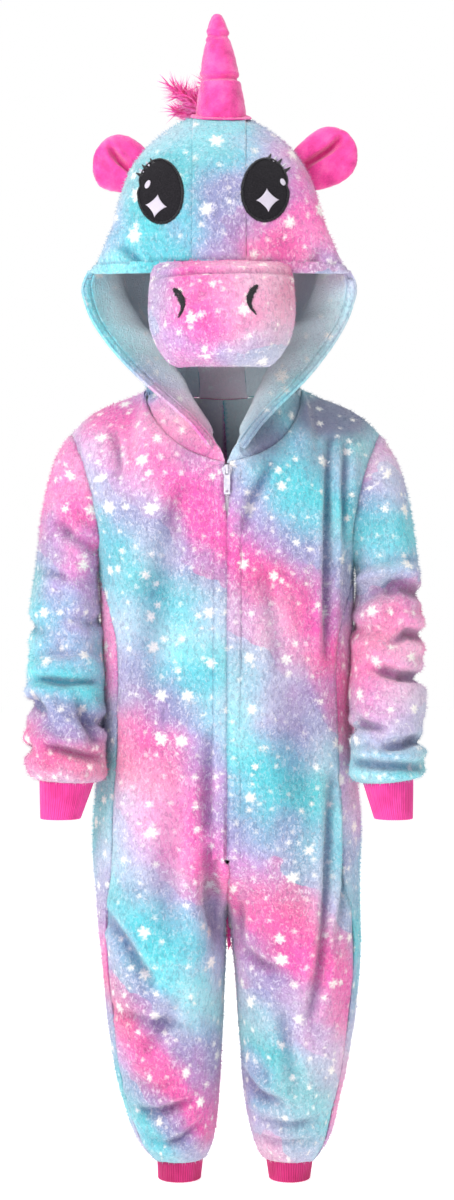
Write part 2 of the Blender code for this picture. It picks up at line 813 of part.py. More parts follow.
def sleeve_rings(side, rows, columns):
    """The sleeve's outer points: the armhole first, then the table's rings."""
    turn = np.linspace(0, 2 * math.pi, columns, endpoint=False)
    half = columns // 2 + 1
    parts = np.linspace(0, 1, half)
    front = armhole_line(side, False, parts)[::-1]
    back = armhole_line(side, True, parts)
    head = np.concatenate([front, back[1:-1]])
    head[:, 0] += side * HEAD_GAP
    data = SLEEVES[side]
    rings = [head]
    for index in range(len(data["outer"])):
        row = {name: column[index] for name, column in data.items()}
        rings.append(sleeve_ring(side, row, turn))
    grid = resample(np.stack(rings), rows)
    centre = grid.mean(axis=1, keepdims=True)
    spoke = unit(grid - centre)
    inward = (1 - np.cos(turn)) / 2
    rise = np.zeros(grid.shape[:2])
    for outer_z, inner_z, height, breadth in zip(*SLEEVE_FOLDS[side].values()):
        line = outer_z + (inner_z - outer_z) * inward
        calm = 1 - INNER_CALM * inward
        rise += height * calm * np.exp(-(((grid[..., 2] - line) / breadth) ** 2))
    return grid + spoke * rise[..., None]


def make_sleeves(paint):
    """Each sleeve is one closed tube from the armhole to the wrist."""
    for side, side_name in SIDE_NAMES.items():
        grid = sleeve_rings(side, SLEEVE_ROWS, SLEEVE_COLUMNS)
        centre = grid.mean(axis=1, keepdims=True)
        cloth("sleeve_" + side_name, grid, FLEECE, paint["fleece"], centre, closed=True)


def make_cuff(name, columns, paint):
    """A ribbed tube: its outer points rise and fall, its inside is plain."""
    count = 2 * CUFF_RIBS
    turn = np.linspace(0, 2 * math.pi, count, endpoint=False)
    size = len(columns["z"])
    outer, plain = np.empty((size, count, 3)), np.empty((size, count, 3))
    for index in range(size):
        x, z, half, deep, y = (columns[key][index] for key in ("x", "z", "half", "deep", "y"))
        for grid, extra in ((outer, RIB_RISE * (np.arange(count) % 2)), (plain, 0.0)):
            grid[index, :, 0] = x + (half + extra) * np.cos(turn)
            grid[index, :, 1] = y + (deep + extra) * np.sin(turn)
            grid[index, :, 2] = z
    centre = plain.mean(axis=1, keepdims=True)
    cloth(name, outer, RIB_KNIT, paint, centre, closed=True, plain=plain)


# Hood


def hood_row(columns, index, front_y=None):
    """One row of a hood panel, as half widths: from its front edge to the crown seam."""
    row = {name: column[index] for name, column in columns.items()}
    roll, side = np.array([row["roll"], row["roll_y"]]), np.array([row["side"], row["side_y"]])
    wall = (roll + side) / 2
    wall = wall + row["bulge"] * unit(wall - (0, HOOD_MIDDLE_Y))
    back = np.array([row["side"], row["back_y"]]) * BACK_CORNER
    edge = (row["edge"], row["edge_y"])
    flat = {"edge": edge, "roll": roll, "wall": wall, "side": side, "back": back}
    low, high = row["edge_z"], row["back_z"]
    controls = [(*place, low + ROW_HEIGHTS[name] * (high - low)) for name, place in flat.items()]
    controls.append((CROWN_HALF, row["back_y"], high))
    steps = [EDGE_STEPS, WALL_STEPS, WALL_STEPS, SIDE_STEPS, SIDE_STEPS]
    if front_y is not None:
        controls.insert(0, (CROWN_HALF, front_y, low))
        steps.insert(0, FACE_STEPS)
    return through(controls, steps)


def crown_seam_top(count):
    """The crown seam between the highest rows' ends, over the top of the head."""
    front, back = HOOD_CLOSED["front_y"][-1], HOOD_CLOSED["back_y"][-1]
    y = np.linspace(front, back, count)
    middle, half = (front + back) / 2, (back - front) / 2
    rise = CROWN_TOP - HOOD_CLOSED["edge_z"][-1]
    z = HOOD_CLOSED["edge_z"][-1] + rise * (1 - ((y - middle) / half) ** 2)
    return np.stack([np.full(count, CROWN_HALF), y, z], axis=-1)


def hood_grid():
    """The hood panel as a grid of half widths, and how many of its rows stay open in front."""
    closed = [hood_row(HOOD_CLOSED, i, front_y) for i, front_y in enumerate(HOOD_CLOSED["front_y"])]
    columns = len(closed[0])
    closed.append(crown_seam_top(columns))
    opened = [hood_row(HOOD_OPEN, i) for i in range(len(HOOD_OPEN["edge"]))]
    opened.append(closed[0][FACE_STEPS:])
    seam = hood_seam(columns - FACE_STEPS, CROWN_HALF)
    lower = np.stack([seam] + opened)
    lower = resample(lower, HOOD_OPEN_ROWS)
    upper = resample(np.stack(closed), HOOD_CLOSED_ROWS)
    grid = np.zeros((len(lower) + len(upper) - 1, columns, 3))
    grid[: len(lower), FACE_STEPS:] = lower
    grid[: len(lower), :FACE_STEPS] = upper[0, :FACE_STEPS]
    grid[len(lower) - 1:] = upper
    return grid, len(lower) - 1


def on_side(half_widths, side):
    """Half widths placed on one side of the garment."""
    placed = np.array(half_widths, float)
    placed[..., 0] = side * placed[..., 0] + hood_shift(placed[..., 2])
    return placed


def hood_hem(grid, open_rows):
    """The hood's front edge, from the zip up round to the brim's middle, and the way out of it."""
    up = grid[HEM_START:open_rows, FACE_STEPS]
    across = grid[open_rows, FACE_STEPS::-1]
    inside_up = grid[HEM_START:open_rows, FACE_STEPS + 1]
    inside_across = grid[open_rows + 1, FACE_STEPS::-1]
    _, brim_y, brim_z = across[-1]
    middle = np.array([(CROWN_HALF / 2, brim_y - 0.7 * CROWN_BOW, brim_z), (0, brim_y - CROWN_BOW, brim_z)])
    edge = np.concatenate([up, across, middle])
    inside = np.concatenate([inside_up, inside_across, middle + (0, 1, 10)])
    out = unit(edge - inside)
    out[0] = out[1]
    for _ in range(3):
        out[1:-1] = (out[:-2] + 2 * out[1:-1] + out[2:]) / 4
    out[-1, 0] = 0
    return edge, unit(out)


def crown_strip(grid, open_rows):
    """The strip over the middle of the head, from the brim to the back of the neck."""
    line = np.concatenate([grid[open_rows:-1, 0], grid[-1], grid[:-1, -1][::-1]])
    across = np.linspace(-1, 1, CROWN_COLUMNS)
    slope = np.gradient(line, axis=0)
    lift = unit(np.stack([np.zeros(len(line)), -slope[:, 2], slope[:, 1]], axis=-1))
    strip = np.empty((len(line), CROWN_COLUMNS, 3))
    for j, place in enumerate(across):
        strip[:, j] = line + CROWN_BOW * (1 - place**2) * lift
        strip[:, j, 0] = place * CROWN_HALF
    strip[..., 0] += hood_shift(strip[..., 2])
    return strip


def hood_grids():
    """The hood's half grid, its open rows, and its three sheets with shared normals."""
    grid, open_rows = hood_grid()
    grids = {"hood_side_" + name: on_side(grid, side) for side, name in SIDE_NAMES.items()}
    grids["hood_crown"] = crown_strip(grid, open_rows)
    middle = (HOOD_LEAN, HOOD_MIDDLE_Y, 0)
    sheets = []
    for name, placed in grids.items():
        inside = placed * (0, 0, 0.8) + middle
        normal = inward_normals(placed, inside)
        if "side" in name:
            open_part = (slice(0, open_rows + 1), slice(FACE_STEPS, None))
            normal[open_part] = inward_normals(placed[open_part], inside[open_part])
            normal[open_rows:] = inward_normals(placed[open_rows:], inside[open_rows:])
            normal[:open_rows, :FACE_STEPS] = 0
        sheets.append((placed, normal))
    sheets = dict(zip(grids, zip(grids.values(), share_normals(sheets, SEAM_REACH))))
    return grid, open_rows, sheets


def make_hood(paint, sheets, open_rows, body):
    """The hood's two side panels and crown strip, mitred to the body along the neck."""
    made = {}
    necks = [(placed[:1], normal[:1]) for placed, normal in body.values()]
    for name, (placed, normal) in sheets.items():
        crown = name == "hood_crown"
        seam_row = -1 if crown else 0
        meet = (placed[seam_row][None], normal[seam_row][None])
        normal = normal.copy()
        normal[seam_row] = share_normals([meet] + necks, NECK_REACH)[0][0]
        if crown:
            placed, keep = trim(placed, start=1, end=1, last=2), None
        else:
            placed = trim(placed, first=NECK_GAPS, start=CROWN_GAPS, end=CROWN_GAPS)
            keep = open_cell(open_rows)
            placed[-1, :, 0] += CROWN_GAPS * SEAM_GAP * np.sign(placed[-1, :, 0] - HOOD_LEAN)
        made[name] = cloth(name, placed, FLEECE, paint["fleece"], normal=normal, keep=keep)
    return made


def open_cell(open_rows):
    """Which cells of the hood's grid are cloth: none in front of its edge in the open rows."""
    return lambda row, column: row >= open_rows or column >= FACE_STEPS


def make_bands(paint, grid, open_rows):
    """The turned hem along the hood's front edge, one half on each side."""
    edge, out = hood_hem(grid, open_rows)
    widths = np.linspace(BAND_GAPS * SEAM_GAP, BAND_WIDTH, BAND_STEPS + 1)
    for side, side_name in SIDE_NAMES.items():
        band = on_side(edge[None] + widths[:, None, None] * out[None], side)

        def keep_side(points):
            shift = hood_shift(points[..., 2])
            half = np.maximum(side * (points[..., 0] - shift), SEAM_GAP)
            return np.concatenate([(side * half + shift)[..., None], points[..., 1:]], axis=-1)

        inside = band * (0, 0, 1) + (HOOD_LEAN, 2 * HOOD_MIDDLE_Y, 0)
        cloth("hood_band_" + side_name, band, BAND_THICK, paint["fleece"], inside, clamp=keep_side)


def muzzle_back(x):
    """The muzzle's back in y, which follows the brim's bow just in front of it."""
    brim = HOOD_CLOSED["front_y"][0] - BRIM_PROUD
    return brim + BRIM_BOW * (x / BRIM_HALF) ** 2 - LAID_ON


def make_muzzle(paint):
    """A stuffed muzzle whose back lies along the brim."""
    across = np.sin(np.linspace(-math.pi / 2, math.pi / 2, MUZZLE_FRONT_COLUMNS + 1))
    swell = (1 - np.abs(across) ** MUZZLE_SQUARENESS) ** MUZZLE_ROUNDING
    rings = []
    for z, half, deep in zip(*MUZZLE.values()):
        x_front = half * across
        x_back = half * np.linspace(1, -1, MUZZLE_BACK_COLUMNS + 1)[1:-1]
        front = np.stack([x_front, muzzle_back(x_front) - deep * swell, np.full_like(x_front, z)], axis=-1)
        back = np.stack([x_back, muzzle_back(x_back), np.full_like(x_back, z)], axis=-1)
        rings.append(np.concatenate([front, back]) + (MUZZLE_X, 0, 0))
    closed_rings("muzzle", rings, paint["fleece"])


def felt_disc(tree, eye, size, lift):
    """One ring of an eye's oval, a part of its full size, laid on the hood and lifted off it."""
    turn = np.linspace(0, 2 * math.pi, EYE_COLUMNS, endpoint=False)[:None if size else 1]
    points = []
    for angle in turn:
        x, z = eye["half"] * size * math.cos(angle), eye["tall"] * size * math.sin(angle)
        lean = eye["lean"] * z / eye["tall"]
        hit, normal = drop_on(tree, (eye["x"] + x + lean, 0, eye["z"] + z), (0, 1, 0))
        points.append(hit + normal * lift)
    return np.array(points)


def make_eyes(paint, hood):
    """Felt ovals laid on the hood's side panels."""
    sizes = np.linspace(1, 0, EYE_RINGS + 1)
    for side, side_name in SIDE_NAMES.items():
        tree = surface_of(hood["hood_side_" + side_name], hood["hood_crown"])
        under = [felt_disc(tree, EYES[side], size, EYE_LIFT) for size in sizes[::-1]]
        over = [felt_disc(tree, EYES[side], size, EYE_LIFT + FELT) for size in sizes]
        closed_rings("eye_" + side_name, under + over, paint["felt"])


def ring_on_crown(tree, radius, lift):
    """A ring round the horn's foot that follows the crown, lifted off it."""
    turn = np.linspace(0, 2 * math.pi, HORN_COLUMNS, endpoint=False)[:None if radius else 1]
    ring = []
    for angle in turn:
        x, y = HORN_FOOT[0] + radius * math.cos(angle), HORN_FOOT[1] + radius * math.sin(angle)
        hit, _ = drop_on(tree, (x, y, 0), (0, 0, -1))
        ring.append(hit + (0, 0, lift))
    return np.array(ring)


def make_horn(paint, hood):
    """A stuffed horn with turned grooves, seated on the crown, and the collar at its foot."""
    tree = surface_of(*hood.values())
    turn = np.linspace(0, 2 * math.pi, HORN_COLUMNS, endpoint=False)
    base = HORN["radius"][0]
    rings = [ring_on_crown(tree, base * part, STUFFED_LIFT) for part in HORN_SEAT]
    rim_height = rings[-1][:, 2]
    for up, radius in zip(HORN["up"][1:], HORN["radius"][1:]):
        grow, settled = up / HORN["up"][-1], min(1, up / HORN_SETTLE)
        level = rim_height * (1 - settled) + HORN_LEVEL * settled
        tilt = HORN_TURN_SLOPE * np.cos(turn) * settled * (1 - grow)
        x = HORN_FOOT[0] + HORN_LEAN[0] * grow + radius * np.cos(turn)
        y = HORN_FOOT[1] + HORN_LEAN[1] * grow + radius * np.sin(turn)
        rings.append(np.stack([x, y, level + up + tilt], axis=-1))
    top = rings[-1].mean(axis=0) + (0, 0, HORN_TIP)
    closed_rings("horn", rings + [top], paint["pink"])
    rims = [ring_on_crown(tree, radius, COLLAR_LIFT) for radius in (COLLAR_FOOT, COLLAR_RIM)]
    collar = np.stack(rims) + (0, 0, COLLAR_RISE)
    cloth("horn_collar", collar, COLLAR_THICK, paint["pink"], collar - (0, 0, 50), closed=True)


def ear_section(ear, side, axes, place, broad, thick):
    """One ring of an ear: creased in front, upright at the tip and leaning in at the root."""
    along, straight, ahead = axes
    turn = np.linspace(0, 2 * math.pi, EAR_COLUMNS, endpoint=False)
    lean = math.radians(ear["lean"])
    rooted = np.array([-side * math.sin(lean), 0, math.cos(lean)])
    upright = unit(rooted * (1 - place) + straight * place)
    crease = np.exp(-(((np.cos(turn) - EAR_CREASE_PLACE) / EAR_CREASE_BREADTH) ** 2))
    crease *= EAR_CREASE * (np.sin(turn) > 0)
    out = ear["thick"] * thick * (signed_power(np.sin(turn), 0.9) - crease)
    up = ear["broad"] * broad * np.cos(turn)
    centre = ear["root"] + along * place * np.linalg.norm(np.subtract(ear["tip"], ear["root"]))
    return centre + np.outer(up, upright) + np.outer(out, ahead)


def make_ears(paint, hood):
    """Stuffed ears, each folded along a crease and seated on the hood's side."""
    for side, side_name in SIDE_NAMES.items():
        tree = surface_of(hood["hood_side_" + side_name])
        ear = EARS[side]
        along = unit(np.subtract(ear["tip"], ear["root"]).astype(float))
        straight = unit(np.cross(along, (0, 1, 0)))
        straight *= np.sign(straight[2])
        ahead = np.cross(straight, along)
        ahead *= -np.sign(ahead[1])
        axes = (along, straight, ahead)
        rings = [ear_section(ear, side, axes, *row) for row in zip(*EAR_SHAPE.values())]
        middle = rings[0].mean(axis=0)
        seats = []
        for part in EAR_SEAT:
            ring = middle + part * (rings[0] - middle) + EAR_REACH_IN * along
            seats.append(np.array([seat_on(tree, point, STUFFED_LIFT, along) for point in ring]))
        seats[0] = seats[0][:1]
        closed_rings("ear_" + side_name, seats + rings[1:] + [np.array(ear["tip"]) + along], paint["pink"])


# Mane and tail


def lock_faces(points, faces, base, offsets):
    """Grows one four-sided lock from a quad: rings of four points, then a tip."""
    ring = list(base)
    centre = np.mean([points[index] for index in base], axis=0)
    corners = [np.array(points[index]) - centre for index in base]
    for shift, size in offsets:
        fresh = []
        for corner in corners:
            points.append(centre + shift + corner * size)
            fresh.append(len(points) - 1)
        for k in range(4):
            faces.append((ring[k], ring[(k + 1) % 4], fresh[(k + 1) % 4], fresh[k]))
        ring = fresh
    faces.append(tuple(ring))


def mane_line():
    """The strip's middle in y and z, from behind the horn down to the neck, and the way out of it."""
    start = np.array([[MANE_START_Y, CROWN_TOP]])
    upper, lower = (np.stack([rows["back_y"], rows["back_z"]], axis=-1)[::-1]
                    for rows in (HOOD_CLOSED, HOOD_OPEN))
    line = resample(np.concatenate([start, upper, lower]), MANE_ROWS + 1)
    slope = np.gradient(line, axis=0)
    return line, unit(np.stack([-slope[:, 1], slope[:, 0]], axis=-1))


def mane_lock(row, column, up_y, up_z):
    """The rings of one lock: the first rows stand in a tuft, the lower ones fall to one side."""
    wave = math.sin(row * 2.1 + column * 1.3)
    down = min(1.0, row / MANE_FALL_ROWS)
    fall = (-0.95 + 0.15 * wave, -0.5 + 0.2 * wave)[column] * (1 - 0.35 * down)
    outward = MANE_LOCK * np.array([fall, 0.6 * up_y, 0.68 * up_z])
    droop = np.array([0, 3 * down, -MANE_DROOP * down])
    reach = 1 + 0.1 * math.sin(row * 1.7 + column) + 0.35 * max(0.0, 1 - row / MANE_TUFT_ROWS)
    rings = zip(*MANE_RINGS.values())
    return [((outward * along + droop * hang) * reach, size) for along, hang, size in rings]


def make_mane(paint, hood):
    """A narrow strip down the middle of the hood, with locks that fall to the wearer's right."""
    tree = surface_of(hood["hood_crown"])
    line, lift = mane_line()
    points, faces = [], []
    for layer in (MANE_LIFT, MANE_LIFT + MANE_THICK):
        for (y, z), (up_y, up_z) in zip(line, lift):
            for part in (-1, 0, 1):
                probe = (part * MANE_HALF + float(hood_shift(z)), y + 20 * up_y, z + 20 * up_z)
                points.append(seat_on(tree, probe, layer, (0, up_y, up_z)))
    columns = 3
    size = (MANE_ROWS + 1) * columns
    under = grid_faces(MANE_ROWS + 1, columns, False, None)
    faces.extend(tuple(reversed(face)) for face in under)
    last = MANE_ROWS * columns
    rim = [(i * columns, (i + 1) * columns) for i in range(MANE_ROWS)]
    rim += [((i + 1) * columns + 2, i * columns + 2) for i in range(MANE_ROWS)]
    rim += [(j + 1, j) for j in range(2)] + [(last + j, last + j + 1) for j in range(2)]
    faces.extend((a, b, b + size, a + size) for a, b in rim)
    for index, face in enumerate(under):
        row, column = divmod(index, columns - 1)
        base = [corner + size for corner in face]
        lock_faces(points, faces, base, mane_lock(row, column, *lift[row]))
    add_object("mane", points, faces, paint["pink"])


def tail_lock(tree, index, centre, start_y):
    """The rings of one lock, which hangs from the tail's head just clear of the legs' backs."""
    across, deep = TAIL_LOCKS
    row, column = divmod(index, across)
    spread = (column + 0.5) / across * 2 - 1
    length = centre[2] - TAIL_END_Z
    reach = length * (1 - 0.12 * abs(spread) - 0.04 * (math.sin(index * 2.3) + 1))
    steps = []
    for part, size in zip(*TAIL_RINGS.values()):
        sway = TAIL_SWAY * math.sin(3.2 * part + index)
        fan = TAIL_FAN * spread * math.sin(math.pi * min(1, part * 1.1))
        z = centre[2] - reach * part
        seats = [drop_on(tree, (math.copysign(x, centre[0]), 0, z), (0, -1, 0))[0][1] for x in TAIL_PROBES]
        away = max(0.0, max(seats) + TAIL_CLEAR - start_y) + TAIL_SPREAD * row / deep * part
        steps.append((np.array([fan + sway * part * 0.6, away, -reach * part]), size))
    return steps


def make_tail(paint, body):
    """A padded head sewn to the seat, with long locks that hang from it."""
    tree = surface_of(body["back_right"], body["back_left"])
    across, deep = TAIL_LOCKS
    ends = (TAIL_ROOT_Z, TAIL_ROOT_Z - TAIL_HEAD["drop"][-1])
    start_y = LAID_ON + max(drop_on(tree, (TAIL_PROBE_X, 0, z), (0, -1, 0))[0][1] for z in ends)
    points, faces = [], []
    for drop, wide, thick in zip(*TAIL_HEAD.values()):
        for j in range(deep + 1):
            for i in range(across + 1):
                place = 2 * i / across - 1
                y = start_y + j / deep * TAIL_DEEP * thick * (1 - 0.35 * place**2)
                points.append(np.array([place * TAIL_HALF * wide, y, TAIL_ROOT_Z - drop]))
    width, layer = across + 1, (across + 1) * (deep + 1)
    top = grid_faces(deep + 1, width, False, None)
    faces.extend(top)
    rim = list(range(width)) + [width * (j + 1) - 1 for j in range(1, deep + 1)]
    rim += [width * deep + i for i in range(across - 1, -1, -1)] + [width * j for j in range(deep - 1, 0, -1)]
    for start in (0, layer):
        for a, b in zip(rim, rim[1:] + rim[:1]):
            faces.append((a + start, b + start, b + start + layer, a + start + layer))
    for index, face in enumerate(top):
        base = [corner + 2 * layer for corner in face]
        centre = np.mean([points[corner] for corner in base], axis=0)
        lock_faces(points, faces, base, tail_lock(tree, index, centre, start_y))
    add_object("tail", points, faces, paint["pink"])


# Zip


def strip_on_front(tree, side, heights, xs, lift):
    """Outer points of a strip that follows the front panel, lifted off it."""
    grid = np.empty((len(heights), len(xs), 3))
    for i, z in enumerate(heights):
        for j, x in enumerate(xs):
            hit, _ = drop_on(tree, (side * x, 0, z), (0, 1, 0))
            grid[i, j] = (side * x, hit[1] - lift, z)
    return grid


def make_zip(paint, body, rows):
    """A placket strip and a zip tape on each side of the front opening."""
    between = (rows < ZIP_TOP - ROW_FADE) & (rows > ZIP_END + ROW_FADE)
    heights = np.concatenate([[ZIP_TOP], rows[between], [ZIP_END]])
    for side, side_name in SIDE_NAMES.items():
        tree = surface_of(body["front_" + side_name])
        xs = np.linspace(STRIP_START, PLACKET_WIDTH, 3)
        placket = strip_on_front(tree, side, heights, xs, PLACKET_LIFT + PLACKET_THICK)
        parted = PLACKET_PARTING * smooth_step((placket[:, 0, 2] - PARTING_Z) / PARTING_FADE)
        placket[:, 0, 0] = side * (PLACKET_EDGE + parted)
        cloth("placket_" + side_name, placket, PLACKET_THICK, paint["fleece"], placket + (0, 50, 0))
        tape = strip_on_front(tree, side, heights, (STRIP_START, TAPE_WIDTH), -FLEECE - TAPE_LIFT)
        tape[:, 0, 0] = side * SEAM_GAP
        cloth("zip_tape_" + side_name, tape, TAPE_THICK, paint["tape"], tape + (0, 50, 0))


BOX_FACES = [(0, 1, 3, 2), (4, 6, 7, 5), (0, 4, 5, 1), (2, 3, 7, 6), (0, 2, 6, 4), (1, 5, 7, 3)]


def add_box(name, place, low, high, paint):
    """A box between two corners that are given from a place, which becomes its origin."""
    corners = [(x, y, z) for z in (low[2], high[2]) for y in (low[1], high[1]) for x in (low[0], high[0])]
    return add_object(name, np.array(corners) + place, BOX_FACES, paint, place)


def make_slider(paint, body):
    """The slider with its bridge, and the pull tab whose bar lies under the bridge."""
    tree = surface_of(body["front_left"])
    levels = (SLIDER_Z - TAB_LENGTH, SLIDER_Z)
    cloth_y = min(drop_on(tree, (WEARER_LEFT * TAPE_WIDTH, 0, z), (0, 1, 0))[0][1] for z in levels)
    wide, deep, tall = SLIDER_SIZE
    front = cloth_y - LAID_ON - PLACKET_THICK - SLIDER_PROUD
    reach = tall / 2 - BRIDGE_END
    place = np.array([0, front, SLIDER_Z])
    metal = paint["metal"]
    slab = add_box("zip_slider", place, (-wide / 2, 0, -tall / 2), (wide / 2, deep, tall / 2), metal)
    arch = add_box("bridge_blank", place, (-BRIDGE_HALF, -BRIDGE_GAP - BRIDGE_BAR, -reach),
                   (BRIDGE_HALF, BRIDGE_ROOT, reach), metal)
    hole = add_box("bridge_hole", place, (-2 * BRIDGE_HALF, -BRIDGE_GAP, BRIDGE_FOOT - reach),
                   (2 * BRIDGE_HALF, deep, reach - BRIDGE_FOOT), metal)
    combine(arch, hole, "DIFFERENCE")
    combine(slab, arch, "UNION")
    pivot = place - (0, BRIDGE_GAP / 2, 0)
    half = TAB_WIDTH / 2
    tab_low, tab_high = (-half, -TAB_THICK / 2, -TAB_LENGTH), (half, TAB_THICK / 2, TAB_TOP)
    tab = add_box("pull_tab", pivot, tab_low, tab_high, metal)
    for name, (hole_half, low, high) in (("tab_eye", TAB_EYE), ("tab_hole", TAB_HOLE)):
        cutter = add_box(name, pivot, (-hole_half, -deep, low), (hole_half, deep, high), metal)
        combine(tab, cutter, "DIFFERENCE")


def combine(target, other, operation):
    """Applies one Boolean and removes the other object."""
    modifier = target.modifiers.new(operation.title(), "BOOLEAN")
    modifier.operation = operation
    modifier.object = other
    graph = bpy.context.evaluated_depsgraph_get()
    mesh = bpy.data.meshes.new_from_object(target.evaluated_get(graph))
    target.modifiers.clear()
    target.data = mesh
    bpy.data.objects.remove(other)


def palette():
    return {
        "fleece": material("fleece", (0.75, 0.45, 0.75), 0.9),
        "pink": material("pink_plush", (0.9, 0.12, 0.45), 0.85),
        "rib": material("pink_rib", (0.85, 0.05, 0.32), 0.85),
        "felt": material("black_felt", (0.015, 0.015, 0.02), 0.9),
        "tape": material("white_tape", (0.85, 0.85, 0.85), 0.7),
        "metal": material("white_enamel", (0.82, 0.82, 0.84), 0.35, 0.2),
    }


def main():
    for obj in list(bpy.data.objects):
        bpy.data.objects.remove(obj)
    paint = palette()
    panels = body_grids()
    half_hood, open_rows, sheets = hood_grids()
    first_row, last_row = slice(0, 1), slice(-1, None)
    neck_rows = {"hood_side_right": first_row, "hood_side_left": first_row, "hood_crown": last_row}
    neck_sheets = [tuple(item[rows] for item in sheets[name]) for name, rows in neck_rows.items()]
    body = make_body(paint, panels, neck_sheets)
    make_sleeves(paint)
    for side, side_name in SIDE_NAMES.items():
        make_cuff("wrist_cuff_" + side_name, WRIST_CUFFS[side], paint["rib"])
        make_cuff("ankle_cuff_" + side_name, ANKLE_CUFFS[side], paint["rib"])
    hood = make_hood(paint, sheets, open_rows, panels)
    make_bands(paint, half_hood, open_rows)
    make_muzzle(paint)
    make_eyes(paint, hood)
    make_horn(paint, hood)
    make_ears(paint, hood)
    make_mane(paint, hood)
    make_tail(paint, body)
    make_zip(paint, body, panels["front_left"][0][:, 0, 2])
    make_slider(paint, body)


main()
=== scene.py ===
"""The finished unicorn onesie: printed fleece, plush, felt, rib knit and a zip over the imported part."""

import json
import math

